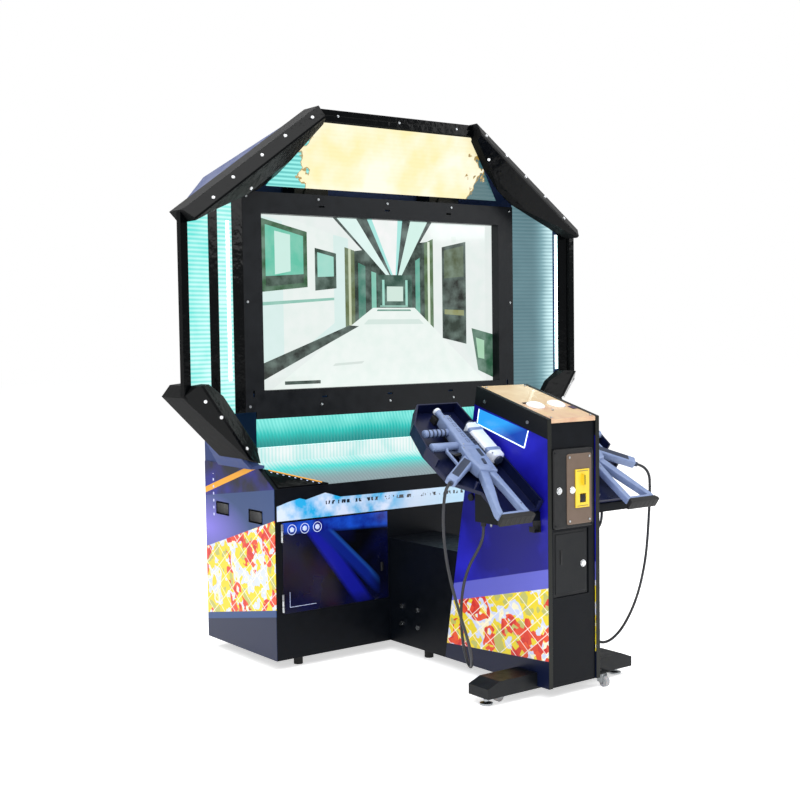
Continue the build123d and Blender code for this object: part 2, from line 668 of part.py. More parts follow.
with BuildPart() as coin_mech:
    box_between(2, 58, fy(end_face), fy(end_face + 80), 650, 820)
    box_between(28, 32, fy(end_face - 1), fy(end_face + 60), 748, 782, Mode.SUBTRACT)
coin_mech.part.label = "coin_mech"
export_step(coin_mech.part, "parts/coin_mech.step")

with BuildPart() as coin_lock:
    lying_cylinder(coin_lock_x, fy(coin_front - 4), fy(end_face + 2), coin_lock_z, lock_radius)
    box_between(coin_lock_x - 5, coin_lock_x + 5, fy(end_face + 2), fy(end_face + 5),
                coin_lock_z - 7, coin_lock_z + 9)
    box_between(coin_lock_x - 1, coin_lock_x + 1, fy(coin_front - 5), fy(coin_front - 2),
                coin_lock_z - 5, coin_lock_z + 5, Mode.SUBTRACT)
coin_lock.part.label = "coin_lock"
export_step(coin_lock.part, "parts/coin_lock.step")

cash_set = 4.0              # cash door lies this far back in its opening
cash_lock_x, cash_lock_z = 52.0, 463.0
with BuildPart() as cash_door:
    box_between(cash_x0 + gap, cash_x1 - gap, fy(end_face + cash_set), fy(end_face + carcass),
                cash_z0 + gap, cash_z1 - gap)
    lying_cylinder(cash_lock_x, fy(end_face), fy(end_face + carcass + 1), cash_lock_z, lock_radius + running_fit,
                   Mode.SUBTRACT)
cash_door.part.label = "cash_door"
export_step(cash_door.part, "parts/cash_door.step")

with BuildPart() as cash_lock:
    lying_cylinder(cash_lock_x, fy(end_face), fy(end_face + carcass + 2), cash_lock_z, lock_radius)
    box_between(cash_lock_x - 5, cash_lock_x + 5, fy(end_face + carcass + 2), fy(end_face + carcass + 5),
                cash_lock_z - 7, cash_lock_z + 9)
    box_between(cash_lock_x - 1, cash_lock_x + 1, fy(end_face - 1), fy(end_face + 2), cash_lock_z - 5, cash_lock_z + 5,
                Mode.SUBTRACT)
cash_lock.part.label = "cash_lock"
export_step(cash_lock.part, "parts/cash_lock.step")

with BuildPart() as cash_box:
    box_between(-80, 60, fy(-900), fy(-760), 350, 500)
    box_between(-78, 58, fy(-898), fy(-762), 352, 501, Mode.SUBTRACT)
cash_box.part.label = "cash_box"
export_step(cash_box.part, "parts/cash_box.step")

# ---------------------------------------------------------------- crossbar, levellers, casters
bar_wall = 3.0
bar_end_high = 68.0
bar_flat_half = 300.0
leveller_x = 317.0
leveller_y = -(bar_front + bar_back) / 2
shelf_z = 50.0
caster_plate = 4.0
caster_trail = 22.0
wheel_radius = 20.0
pin_radius = 4.0
caster_left = (-240.0, leveller_y)
caster_right = (console_half + 32.0, -(bar_front + 30))

with BuildPart() as crossbar:
    with BuildSketch(front_plane(fy(-bar_back))):
        outline([(-bar_half, bar_low), (-bar_half, bar_end_high), (-bar_flat_half, bar_high), (bar_flat_half, bar_high),
                 (bar_half, bar_end_high), (bar_half, bar_low)])
    extrude(amount=bar_front - bar_back)
    with BuildSketch(front_plane(fy(-bar_back - bar_wall))):
        outline([(-bar_half + bar_wall, bar_low - 1), (-bar_half + bar_wall, bar_end_high - bar_wall),
                 (-bar_flat_half, bar_high - bar_wall), (bar_flat_half, bar_high - bar_wall),
                 (bar_half - bar_wall, bar_end_high - bar_wall), (bar_half - bar_wall, bar_low - 1)])
    extrude(amount=bar_front - bar_back - 2 * bar_wall, mode=Mode.SUBTRACT)
    for x0, x1 in ((-bar_half + bar_wall, -285), (285, bar_half - bar_wall), (-265, -210)):
        box_between(x0, x1, fy(-bar_front + bar_wall), fy(-bar_back - bar_wall), shelf_z, shelf_z + caster_plate)
    box_between(caster_right[0] - 29, caster_right[0] + 23, fy(-bar_front - 58), fy(-bar_front), shelf_z,
                shelf_z + caster_plate)
    for x in (-leveller_x, leveller_x):
        with Locations((x, fy(leveller_y), shelf_z)):
            Cylinder(6 + running_fit, 20, mode=Mode.SUBTRACT)
    for x, y in (caster_left, caster_right):
        with Locations((x, fy(y), shelf_z)):
            Cylinder(pin_radius + running_fit, 20, mode=Mode.SUBTRACT)
crossbar.part.label = "crossbar"
export_step(crossbar.part, "parts/crossbar.step")

for name, x in (("leveller_left", -leveller_x), ("leveller_right", leveller_x)):
    with BuildPart() as leveller:
        with Locations((x, fy(leveller_y), 3)):
            Cylinder(23, 6)
        with Locations((x, fy(leveller_y), 8)):
            Cone(23, 9, 4)
        with Locations((x, fy(leveller_y), 41)):
            Cylinder(6, 64)
        with BuildSketch(Plane((x, fy(leveller_y), 12))):
            RegularPolygon(10, 6)
        extrude(amount=7)
    leveller.part.label = name
    export_step(leveller.part, f"parts/{name}.step")


def caster_fork(x, y, turn):
    """Swivel fork under its pin at (x, y); the wheel trails in the direction turn, in degrees."""
    with BuildPart() as fork:
        with Locations((x, y, shelf_z - clear - 2)):
            Cylinder(14, 4)
        with Locations((x, y, shelf_z + 1)):
            Cylinder(pin_radius, 9)
        with Locations(Location((x, y, 0), (0, 0, turn))):
            for side in (-10.75, 10.75):
                with Locations((caster_trail / 2, side, 31)):
                    Box(30, 2.5, 31)
            with Locations(Location((caster_trail, 0, wheel_radius), (90, 0, 0))):
                Cylinder(3, 24)
            with Locations((0, 0, 44.5)):
                Box(8, 24, 4)
    return fork.part


def caster_wheel(x, y, turn):
    """Wheel of the caster, hollow at its axle."""
    with BuildPart() as wheel:
        with Locations(Location((x, y, 0), (0, 0, turn))):
            with Locations(Location((caster_trail, 0, wheel_radius), (90, 0, 0))):
                Cylinder(wheel_radius, 17)
                Cylinder(3 + running_fit, 30, mode=Mode.SUBTRACT)
    return wheel.part


for side, (x, y), turn in (("left", caster_left, 180.0), ("right", caster_right, -95.0)):
    fork_part = caster_fork(x, fy(y), turn)
    fork_part.label = f"caster_fork_{side}"
    export_step(fork_part, f"parts/caster_fork_{side}.step")
    wheel_part = caster_wheel(x, fy(y), turn)
    wheel_part.label = f"caster_wheel_{side}"
    export_step(wheel_part, f"parts/caster_wheel_{side}.step")

# ---------------------------------------------------------------- gun trays
slope_len = hypot(1, gun_slope)
tray_side = 125.0           # width in the tray's own coordinates at which the console's side stands
tray_plane = Plane(origin=(tray_side - console_half, fy(-gun_butt_y), gun_butt_z),
                   x_dir=(0, 1 / slope_len, gun_slope / slope_len),
                   z_dir=(0, -gun_slope / slope_len, 1 / slope_len))
tray_inner = tray_side + 3.0
tray_outline = [(70, tray_inner), (640, tray_inner), (640, 318), (530, 402), (400, 428), (250, 416),
                (180, 314), (70, 314)]
tray_wall = 6.0
tray_deep = 46.0
receiver_half = 22.0        # half thickness of the gun's receiver and of its handguard
guard_half = 25.0
block_low = 630.0


def tray_world(s, w, n=0.0):
    """Place of a point of the left tray given along it, outwards and upwards from it."""
    return (tray_side - console_half - w, fy(-gun_butt_y) + (s - gun_slope * n) / slope_len, gun_butt_z + (gun_slope * s + n) / slope_len)


with BuildPart() as holster_left:
    with BuildSketch(tray_plane.offset(-tray_deep)):
        outline(tray_outline)
    extrude(amount=tray_deep)
    with BuildSketch(tray_plane.offset(-tray_deep + tray_wall)):
        outline(tray_outline)
        offset(amount=-tray_wall, kind=Kind.INTERSECTION, mode=Mode.REPLACE)
    extrude(amount=tray_deep, mode=Mode.SUBTRACT)
    with BuildSketch(tray_plane.offset(-32)):
        outline([(60, 150), (196, 150), (196, 340), (330, 340), (330, 450), (60, 450)])
    extrude(amount=60, mode=Mode.SUBTRACT)
    for s, half in ((232, receiver_half), (420, guard_half), (515, guard_half)):
        with BuildSketch(tray_plane.offset(-tray_deep + tray_wall)):
            outline([(s, 244), (s + 26, 244), (s + 26, 280), (s, 280)])
        extrude(amount=tray_deep - tray_wall - half - clear)
holster_left.part.label = "holster_left"
export_step(holster_left.part, "parts/holster_left.step")

with BuildPart() as holster_right:
    mirror(objects=holster_left.part, about=Plane.YZ)
holster_right.part.label = "holster_right"
export_step(holster_right.part, "parts/holster_right.step")


def tray_under(y):
    """Height of the tray's underside at a distance y behind the base's front face."""
    return gun_butt_z + (y + gun_butt_y) * gun_slope - tray_deep * slope_len


block_front, block_back, block_outer = -897.0, -767.0, 312.0
with BuildPart() as holster_blocks:
    for x in (-block_outer, console_half):
        with BuildSketch(side_plane(x)):
            outline([(fy(block_front), block_low), (fy(block_front), tray_under(block_front)),
                     (fy(block_back), tray_under(block_back)), (fy(block_back), block_low)])
        extrude(amount=block_outer - console_half)
holster_blocks.part.label = "holster_blocks"
export_step(holster_blocks.part, "parts/holster_blocks.step")

hose_radius = 5.5
first_run = 22.0
gland_end_x, gland_end_y = 290.0, -786.0
# bracket, arm and lip of each hook: from and to out of the console's side, along y, and above the block's underside
hook_boxes = [(0, 3, -900, -860, -42, -1), (3, 26, -893, -867, -42, -38), (22, 26, -893, -867, -38, -22)]
with BuildPart() as holster_fittings:
    for s in (-1, 1):
        for x0, x1, y0, y1, z0, z1 in hook_boxes:
            box_between(*sorted((s * (console_half + x0), s * (console_half + x1))), fy(y0), fy(y1),
                        block_low + z0, block_low + z1)
        cross_cylinder(s * console_half, s * (console_half + 10), fy(-528), 676, 14)
        with Locations((s * gland_end_x, fy(gland_end_y), block_low - 8)):
            Cylinder(10, 16)
holster_fittings.part.label = "holster_fittings"
export_step(holster_fittings.part, "parts/holster_fittings.step")

# ---------------------------------------------------------------- guns, lying on their sides in the trays
grip_end = (210.0, 449.0)
grip_way = Vector(-102, 148, 0).normalized()
grip_ahead = tray_world(grip_end[0] + grip_way.X, grip_end[1] + grip_way.Y)
grip_world = Vector(*grip_ahead) - Vector(*tray_world(*grip_end))
gland_length = 10.0
trigger_pin = (348.0, 302.0)
trigger_hole = 3.0

with BuildPart() as gun_left_body:
    with BuildSketch(tray_plane.offset(-guard_half)):
        outline([(360, 238), (545, 242), (545, 284), (360, 302)])
    extrude(amount=2 * guard_half)
    fillet(gun_left_body.edges().filter_by(lambda e: abs(e.tangent_at(0).dot(tray_plane.x_dir)) > 0.95), 5)
    with BuildSketch(tray_plane.offset(-receiver_half)):
        outline([(222, 234), (300, 226), (372, 226), (372, 308), (300, 318), (240, 304)])
    extrude(amount=2 * receiver_half)
    with BuildSketch(tray_plane.offset(-16)):
        outline([(292, 290), (330, 312), (226, 460), (194, 438)])
    extrude(amount=32)
    with BuildSketch(tray_plane.offset(-6)):
        outline([(296, 300), (396, 298), (390, 350), (366, 364), (284, 362)])
        outline([(324, 300), (390, 290), (385, 347), (363, 358), (295, 357)], Mode.SUBTRACT)
    extrude(amount=12)
    with BuildSketch(tray_plane.offset(-5)):
        outline([(336, 294), (362, 294), (362, 340), (336, 340)])
    extrude(amount=10, mode=Mode.SUBTRACT)
    with BuildSketch(Plane(tray_world(540, 258), x_dir=(1, 0, 0), z_dir=tray_plane.x_dir)):
        Circle(13)
    extrude(amount=gun_length - 540)
    for s, reach, radius in ((470, 398, 15), (394, 414, 16)):
        with BuildSketch(Plane(tray_world(s, 280), x_dir=tray_plane.x_dir, z_dir=(-1, 0, 0))):
            Circle(radius)
        extrude(amount=reach - 280)
    with BuildSketch(Plane(tray_world(*grip_end), x_dir=tray_plane.z_dir, z_dir=grip_world)):
        Circle(9)
    extrude(amount=gland_length)
    with BuildSketch(tray_plane.offset(-7)):
        with Locations(trigger_pin):
            Circle(trigger_hole - running_fit)
    extrude(amount=14)
gun_left_body.part.label = "gun_left_body"
export_step(gun_left_body.part, "parts/gun_left_body.step")

with BuildPart() as gun_left_stock:
    with BuildSketch(tray_plane.offset(-14)):
        outline([(232, 236), (10, 236), (10, 376), (34, 376), (244, 302)])
        outline([(150, 262), (28, 262), (28, 350), (60, 342), (150, 306)], Mode.SUBTRACT)
    extrude(amount=28)
    add(gun_left_body.part, mode=Mode.SUBTRACT)
    with BuildSketch(tray_plane.offset(-20)):
        outline([(-8, 232), (14, 232), (14, 380), (-8, 380)])
    extrude(amount=40)
gun_left_stock.part.label = "gun_left_stock"
export_step(gun_left_stock.part, "parts/gun_left_stock.step")

with BuildPart() as gun_left_scope:
    with BuildSketch(tray_plane.offset(-23)):
        outline([(302, 142), (500, 142), (500, 190), (470, 206), (330, 206), (302, 190)])
    extrude(amount=46)
    with BuildSketch(tray_plane.offset(-9)):
        outline([(335, 200), (465, 200), (465, 240), (335, 240)])
    extrude(amount=18)
    add(gun_left_body.part, mode=Mode.SUBTRACT)
gun_left_scope.part.label = "gun_left_scope"
export_step(gun_left_scope.part, "parts/gun_left_scope.step")

with BuildPart() as gun_left_trigger:
    with BuildSketch(tray_plane.offset(-3.5)):
        outline([(341, 297), (355, 297), (353, 320), (345, 344), (338, 342), (341, 318)])
        with Locations(trigger_pin):
            Circle(trigger_hole, mode=Mode.SUBTRACT)
    extrude(amount=7)
gun_left_trigger.part.label = "gun_left_trigger"
export_step(gun_left_trigger.part, "parts/gun_left_trigger.step")

for piece, source in (("body", gun_left_body), ("stock", gun_left_stock), ("scope", gun_left_scope),
                      ("trigger", gun_left_trigger)):
    with BuildPart() as twin:
        mirror(objects=source.part, about=Plane.YZ)
    twin.part.label = f"gun_right_{piece}"
    export_step(twin.part, f"parts/gun_right_{piece}.step")

# ---------------------------------------------------------------- hoses: one loop from each grip to its block
grip_mouth = Vector(*grip_end, 0) + grip_way * gland_length
hose_start = Vector(*tray_world(grip_mouth.X, grip_mouth.Y))


def hose_route(points, flip):
    """Route of a hose: out of the grip, through its chosen points, up into the block's gland."""
    last = Vector(gland_end_x, fy(gland_end_y), block_low - 16)
    route = [Vector(-p.X, p.Y, p.Z) for p in (hose_start, hose_start + grip_world * first_run)]
    route += [Vector(x, fy(y), z) for x, y, z in points] + [last]
    return [Vector(flip * p.X, p.Y, p.Z) for p in route]


first_points = [(490.7, -827.3, 753.6), (499.8, -832.4, 729.8)]
left_points = first_points + [
    (501, -829, 695), (497, -822, 645), (488, -815, 580), (476, -816, 500), (463, -827, 420), (449, -842, 345),
    (433, -856, 275), (412, -856, 208), (386, -832, 156), (358, -790, 126), (335, -744, 136), (320, -706, 178),
    (311, -684, 240), (305, -676, 315), (300, -684, 395), (296, -712, 465), (292, -750, 518), (291, -776, 556),
    (290, -786, 586)]
right_points = first_points + [
    (502, -832, 695), (500, -833, 645), (494, -834, 580), (487, -834, 500), (479, -831, 420), (469, -822, 345),
    (456, -810, 275), (440, -792, 210), (419, -769, 150), (402, -751, 118), (384, -734, 96), (362, -717, 87),
    (340, -702, 97), (325, -690, 128), (314, -681, 180), (308, -676, 240), (303, -674, 305), (298, -682, 385),
    (295, -704, 460), (292, -740, 518), (291, -775, 556), (290, -786, 586)]


def corner_radii(route):
    """Radius of each arc: 0.45 of the shorter run over the tangent of half the turn."""
    radii = []
    for before, here, after in zip(route, route[1:], route[2:]):
        turn = radians((here - before).get_angle(after - here))
        radii.append(0.45 * min((here - before).length, (after - here).length) / tan(turn / 2))
    return radii


for name, points, flip in (("hose_left", left_points, -1), ("hose_right", right_points, 1)):
    route = hose_route(points, flip)
    radii = corner_radii(route)
    print(name, "radii", [round(r) for r in radii])
    with BuildPart() as hose:
        with BuildLine() as run:
            path = FilletPolyline(*route, radius=radii)
        with BuildSketch(Plane(route[0], z_dir=route[1] - route[0])):
            Circle(hose_radius)
        sweep(path=run.line)
    length = path.length
    ratio = hose.part.volume / (pi * hose_radius ** 2 * length)
    print(name, "length", round(length), "volume ratio", round(ratio, 4))
    hose.part.label = name
    export_step(hose.part, f"parts/{name}.step")

# ---------------------------------------------------------------- screws and bolts
with BuildPart() as fixing_screws:
    for s in (-1, 1):
        for y in (-82, -187):
            for z in (124, 194):
                cross_cylinder(s * console_half, s * (console_half + 6), fy(y), z, 9)
        for y in (-605, -835):
            cross_cylinder(s * console_half, s * (console_half + 3), fy(y), console_top_at(y) - 43, 6)
        cross_cylinder(s * console_half, s * (console_half + 3), fy(-637), 583, 6)
fixing_screws.part.label = "fixing_screws"
export_step(fixing_screws.part, "parts/fixing_screws.step")
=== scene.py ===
# %% [markdown]
# # A light gun cabinet
# A stand-up shooting game: a base cabinet, a hood round a 55-inch screen, and a console on a bridge
# that holds the coin gear, two start buttons and two guns lying in trays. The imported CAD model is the
# frame. Its nodes keep their places, and what the eye sees best is modelled again in finer detail.

# %% Load the frame
import bpy
from math import cos, hypot, pi, radians, sin
from mathutils import Matrix, Vector


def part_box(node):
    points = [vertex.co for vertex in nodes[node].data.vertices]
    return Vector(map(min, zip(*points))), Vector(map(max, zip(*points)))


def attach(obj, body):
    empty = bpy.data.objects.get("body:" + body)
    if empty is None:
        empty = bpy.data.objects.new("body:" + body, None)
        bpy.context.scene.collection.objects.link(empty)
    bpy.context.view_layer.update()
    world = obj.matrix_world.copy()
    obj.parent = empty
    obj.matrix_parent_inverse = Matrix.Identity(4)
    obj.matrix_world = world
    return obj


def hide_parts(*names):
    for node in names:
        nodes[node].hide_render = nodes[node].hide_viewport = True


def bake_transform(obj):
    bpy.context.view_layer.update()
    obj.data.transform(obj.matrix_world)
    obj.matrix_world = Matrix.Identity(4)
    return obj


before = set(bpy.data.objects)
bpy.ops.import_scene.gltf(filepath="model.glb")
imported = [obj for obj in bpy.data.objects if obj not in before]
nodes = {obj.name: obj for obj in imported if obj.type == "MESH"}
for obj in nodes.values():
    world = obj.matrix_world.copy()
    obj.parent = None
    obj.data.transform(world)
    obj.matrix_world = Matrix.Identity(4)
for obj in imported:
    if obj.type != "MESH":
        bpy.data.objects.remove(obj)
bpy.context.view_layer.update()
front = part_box("base_cabinet")[0].y          # the base's front face

# %% [markdown]
# ## Colours and shader nodes
# Colours are written as hex, the way a paint chart gives them, and turned to linear light once.
# One function adds a shader node with its settings and links. Patterns on the prints are cut with
# half-planes: each is 1 on one side of a line and 0 on the other, and products of them make panels.

# %% Colour and node helpers
def colour(code, alpha=1.0):
    """Linear colour of an sRGB hex code such as #1a2b3c."""
    parts = [int(code[i:i + 2], 16) / 255 for i in (1, 3, 5)]
    return tuple(p / 12.92 if p <= 0.04045 else ((p + 0.055) / 1.055) ** 2.4 for p in parts) + (alpha,)


def put(material, kind, inputs=(), **settings):
    """Adds a node; settings are its options, and inputs its socket values or the sockets they come from."""
    node = material.node_tree.nodes.new(kind)
    for name, value in settings.items():
        setattr(node, name, value)
    for socket, value in dict(inputs).items():
        if isinstance(value, bpy.types.NodeSocket):
            material.node_tree.links.new(value, node.inputs[socket])
        else:
            node.inputs[socket].default_value = value
    return node


def new_finish(name, code, roughness, **sockets):
    """A material with its main shader; other sockets are given by name with _ for spaces."""
    material = bpy.data.materials.new(name)
    material.use_nodes = True
    shader = material.node_tree.nodes["Principled BSDF"]
    shader.inputs["Base Color"].default_value = colour(code)
    shader.inputs["Roughness"].default_value = roughness
    for socket, value in sockets.items():
        shader.inputs[socket.replace("_", " ")].default_value = value
    return material


def shader_of(material):
    return material.node_tree.nodes["Principled BSDF"]


def spot(material):
    """Object coordinates, which are the row frame's own metres on every piece here."""
    found = [n for n in material.node_tree.nodes if n.type == "TEX_COORD"]
    return (found[0] if found else put(material, "ShaderNodeTexCoord")).outputs["Object"]


def wire(material, socket, name):
    material.node_tree.links.new(socket, shader_of(material).inputs[name])


def speckle(material, size, detail=3.0, source=None):
    """Noise whose grains are about size metres."""
    return put(material, "ShaderNodeTexNoise", {"Vector": source or spot(material), "Scale": 1 / size,
                                                "Detail": detail})


def blend_colours(material, factor, first, second):
    """Mix of two colours, each a hex code or a socket."""
    ends = [colour(c) if isinstance(c, str) else c for c in (first, second)]
    return put(material, "ShaderNodeMix", {0: factor, 6: ends[0], 7: ends[1]}, data_type="RGBA").outputs[2]


def clouds(material, size, detail, low, high, dark=0.0, bright=1.0):
    """Soft patches of noise: dark where it is under low, and bright where it is over high."""
    noise = speckle(material, size, detail).outputs[0]
    return put(material, "ShaderNodeMapRange", {0: noise, 1: low, 2: high, 3: dark, 4: bright}).outputs[0]


def side_of(material, place, facing, edge=0.0015, where=None):
    """1 on the side of a plane that it faces, 0 behind it, with a soft edge that many metres wide."""
    facing = Vector(facing).normalized()
    along = put(material, "ShaderNodeVectorMath", {0: where or spot(material), 1: facing}, operation="DOT_PRODUCT")
    return put(material, "ShaderNodeMath", {0: along.outputs["Value"], 1: 1 / edge,
                                            2: 0.5 - Vector(place).dot(facing) / edge},
               operation="MULTIPLY_ADD", use_clamp=True).outputs[0]


def both(material, *masks):
    """Product of masks."""
    result = masks[0]
    for mask in masks[1:]:
        result = put(material, "ShaderNodeMath", {0: result, 1: mask}, operation="MULTIPLY").outputs[0]
    return result


def add_relief(material, height, distance, strength=1.0, edge_radius=0.0):
    """Bump from a height socket, over edges that the renderer rounds."""
    links = {"Height": height, "Distance": distance, "Strength": strength}
    if edge_radius:
        links["Normal"] = put(material, "ShaderNodeBevel", {"Radius": edge_radius}, samples=4).outputs[0]
    wire(material, put(material, "ShaderNodeBump", links).outputs[0], "Normal")


def grain(material, code_light, size, amount, relief, edge_radius=0.0015, rough=(0.0, 0.0)):
    """Colour variation, fine relief and uneven gloss that every moulded or painted surface has."""
    shader = shader_of(material)
    base = tuple(shader.inputs["Base Color"].default_value)
    cloud = speckle(material, size * 30, 4.0)
    patch = put(material, "ShaderNodeMath", {0: cloud.outputs[0], 1: amount}, operation="MULTIPLY", use_clamp=True)
    wire(material, blend_colours(material, patch.outputs[0], base, code_light), "Base Color")
    if rough[1]:
        spread = put(material, "ShaderNodeMapRange", {0: cloud.outputs[0], 1: 0.3, 2: 0.7, 3: rough[0], 4: rough[1]})
        wire(material, spread.outputs[0], "Roughness")
    add_relief(material, speckle(material, size).outputs[0], relief, 0.6, edge_radius)
    return material


print("colour helper: #808080 is", [round(part, 3) for part in colour("#808080")], "in linear light")

# %% [markdown]
# ## Camera and studio
# The machine is seen from its front left, a little above the middle, as a standing person with a
# short telephoto lens sees it. The studio is a pale floor with large soft lights.

# %% Camera
bpy.ops.object.select_all(action="DESELECT")
toward = Vector((0.59470843, 0.80177388, -0.05899608)).normalized()
roll = radians(-0.80)
level_right = toward.cross(Vector((0, 0, 1))).normalized()
level_up = level_right.cross(toward)
right = level_right * cos(roll) + level_up * sin(roll)
up = level_up * cos(roll) - level_right * sin(roll)
bpy.ops.object.camera_add(location=(-3.1189, -3.9059, 1.2890))
camera = bpy.context.object
camera.matrix_world = Matrix.Translation(camera.location) @ Matrix((right, up, -toward)).transposed().to_4x4()
camera.data.lens = 57.01
camera.data.sensor_width = 36.0
camera.data.shift_y = 0.0092
camera.data.dof.use_dof = False
bpy.context.scene.camera = camera
print("camera", round(camera.location.length, 2), "m away, lens", camera.data.lens, "mm")

# %% Floor and lights
bpy.ops.mesh.primitive_plane_add(size=60, location=(0, 0, 0))
floor = bpy.context.object
floor.name = "studio_floor"
paper = new_finish("pale_studio_paper", "#fbfbfb", 0.9, Emission_Color=colour("#ffffff"), Emission_Strength=0.60)
wire(paper, blend_colours(paper, speckle(paper, 0.4).outputs[0], "#fdfdfd", "#f6f6f6"), "Base Color")
floor.data.materials.append(paper)


def soft_light(place, target, size, power):
    """Square lamp of a size in metres and a power in watts, turned towards its target."""
    bpy.ops.object.light_add(type="AREA", location=place)
    lamp = bpy.context.object
    lamp.data.shape = "SQUARE"
    lamp.data.size = size
    lamp.data.energy = power
    lamp.rotation_euler = (Vector(target) - Vector(place)).to_track_quat("-Z", "Y").to_euler()


soft_light((-4.5, -4.0, 4.5), (0, 0, 1), 3.5, 170)
soft_light((4.5, -3.0, 3.5), (0, 0, 1), 3.0, 90)
soft_light((0, 4.0, 4.5), (0, 0, 1), 3.5, 130)
soft_light((-1.0, -2.5, 5.5), (0, 0, 0), 4.0, 130)
soft_light((0, 0, 7.0), (0, 0, 0), 9.0, 260)
world = bpy.data.worlds.new("white_studio")
bpy.context.scene.world = world
world.use_nodes = True
sky = world.node_tree.nodes["Background"]
sky.inputs[0].default_value = colour("#ffffff")
# the backdrop is seen white, and lights the machine less, so that black gloss stays black
seen = world.node_tree.nodes.new("ShaderNodeLightPath").outputs["Is Camera Ray"]
level = world.node_tree.nodes.new("ShaderNodeMapRange")
level.inputs[3].default_value = 0.42
world.node_tree.links.new(seen, level.inputs[0])
world.node_tree.links.new(level.outputs[0], sky.inputs[1])
bpy.context.scene.view_settings.view_transform = "Standard"

# %% [markdown]
# ## Hoses
# The leads of each gun run in a corrugated sheath, 11 mm thick, 1.30 m long on the left and 1.35 m on
# the right. It leaves the grip, hangs in a loop almost to the floor and climbs into a gland under the
# gun's block. Its line is a NURBS spline whose control points are the route's own points, and the ribs
# are rings along that line.

# %% Where the hoses run
def mm(x, y, z):
    """A place in millimetres, with y counted from the base's front face."""
    return Vector((x / 1000, front + y / 1000, z / 1000))


grip_run = [(457.23, -808.37, 776.84), (475.35, -818.61, 769.7), (490.7, -827.3, 753.6), (499.8, -832.4, 729.8)]
left_run = [(501, -829, 695), (497, -822, 645), (488, -815, 580), (476, -816, 500), (463, -827, 420), (449, -842, 345),
            (433, -856, 275), (412, -856, 208), (386, -832, 156), (358, -790, 126), (335, -744, 136), (320, -706, 178),
            (311, -684, 240), (305, -676, 315), (300, -684, 395), (296, -712, 465), (292, -750, 518), (291, -776, 556),
            (290, -786, 586), (290, -786, 614)]
right_run = [(502, -832, 695), (500, -833, 645), (494, -834, 580), (487, -834, 500), (479, -831, 420), (469, -822, 345),
             (456, -810, 275), (440, -792, 210), (419, -769, 150), (402, -751, 118), (384, -734, 96), (362, -717, 87),
             (340, -702, 97), (325, -690, 128), (314, -681, 180), (308, -676, 240), (303, -674, 305), (298, -682, 385),
             (295, -704, 460), (292, -740, 518), (291, -775, 556), (290, -786, 586), (290, -786, 614)]
hose_sheath = grain(new_finish("corrugated_polyamide_sheath", "#111318", 0.4), "#2b2e35", 0.0012, 0.6, 0.0001)


# %% Ribbed hoses along their splines
def hose(side, run, flip):
    places = [mm(flip * x, y, z) for x, y, z in grip_run + run]
    line = bpy.data.curves.new("hose_line", "CURVE")
    line.dimensions = "3D"
    line.resolution_u = 16
    spline = line.splines.new("NURBS")
    spline.points.add(len(places) - 1)
    for point, place in zip(spline.points, places):
        point.co = (*place, 1)
    spline.order_u = 3
    spline.use_endpoint_u = True
    holder = bpy.data.objects.new("hose_line", line)
    bpy.context.collection.objects.link(holder)
    bpy.context.view_layer.update()
    trace = bpy.data.meshes.new_from_object(holder)
    way = [v.co.copy() for v in trace.vertices]
    bpy.data.objects.remove(holder)
    # a rib repeats every 4.8 mm: two thick rings and a thin one, each of 14 corners
    corners, rib, profile = 14, 0.0048, (0.0055, 0.0055, 0.0046)
    points, faces, walked, ring_count, across = [], [], 0.0, 0, None
    for here, there in zip(way, way[1:]):
        heading = (there - here).normalized()
        # each ring's first corner is carried on from the last, so that the tube isn't twisted
        across = heading.orthogonal() if across is None else across - heading * across.dot(heading)
        across.normalize()
        while walked <= (there - here).length:
            centre, radius = here + heading * walked, profile[ring_count % 3]
            for i in range(corners):
                turn = 2 * pi * i / corners
                points.append(centre + (across * cos(turn) + heading.cross(across) * sin(turn)) * radius)
            ring_count += 1
            walked += rib / 3
        walked -= (there - here).length
    for ring_index in range(ring_count - 1):
        for i in range(corners):
            a, b = ring_index * corners + i, ring_index * corners + (i + 1) % corners
            faces.append((a, b, b + corners, a + corners))
    faces += [tuple(range(corners))[::-1], tuple(range((ring_count - 1) * corners, ring_count * corners))]
    mesh = bpy.data.meshes.new(f"hose_{side}_sheath")
    mesh.from_pydata(points, [], faces)
    mesh.materials.append(hose_sheath)
    for face in mesh.polygons:
        face.use_smooth = True
    tube = bpy.data.objects.new(f"hose_{side}_sheath", mesh)
    bpy.context.collection.objects.link(tube)
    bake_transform(tube)
    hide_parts(f"hose_{side}")
    print("hose", side, round(sum((b - a).length for a, b in zip(way, way[1:])), 3), "m")


hose("left", left_run, -1)
hose("right", right_run, 1)

# %% [markdown]
# ## Plain finishes
# Arcade cabinets are melamine-faced board, powder-coated steel and vacuum-formed ABS. Melamine has a
# fine pebble, powder coat a soft orange peel, and formed ABS is glossy with slow waves.

# %% Board, metal, plastic and rubber
# pressed melamine: a fine pebble breaks its dull gloss up
melamine = grain(new_finish("black_melamine_board", "#04060a", 0.45, Specular_IOR_Level=0.1), "#0f141c", 0.0011, 0.5,
                 0.0002, rough=(0.3, 0.46))
# powder coat: soft orange peel under a low sheen
powder = grain(new_finish("black_powder_coat", "#05070a", 0.42, Specular_IOR_Level=0.22), "#12171d", 0.0014, 0.5,
               0.00025, rough=(0.34, 0.5))
# vacuum-formed ABS: deep black gloss with slow waves where the sheet stretched
formed = grain(new_finish("gloss_black_formed_abs", "#020304", 0.12, Specular_IOR_Level=0.12), "#07090b", 0.03, 0.4,
               0.0022,
               0.004, rough=(0.09, 0.2))
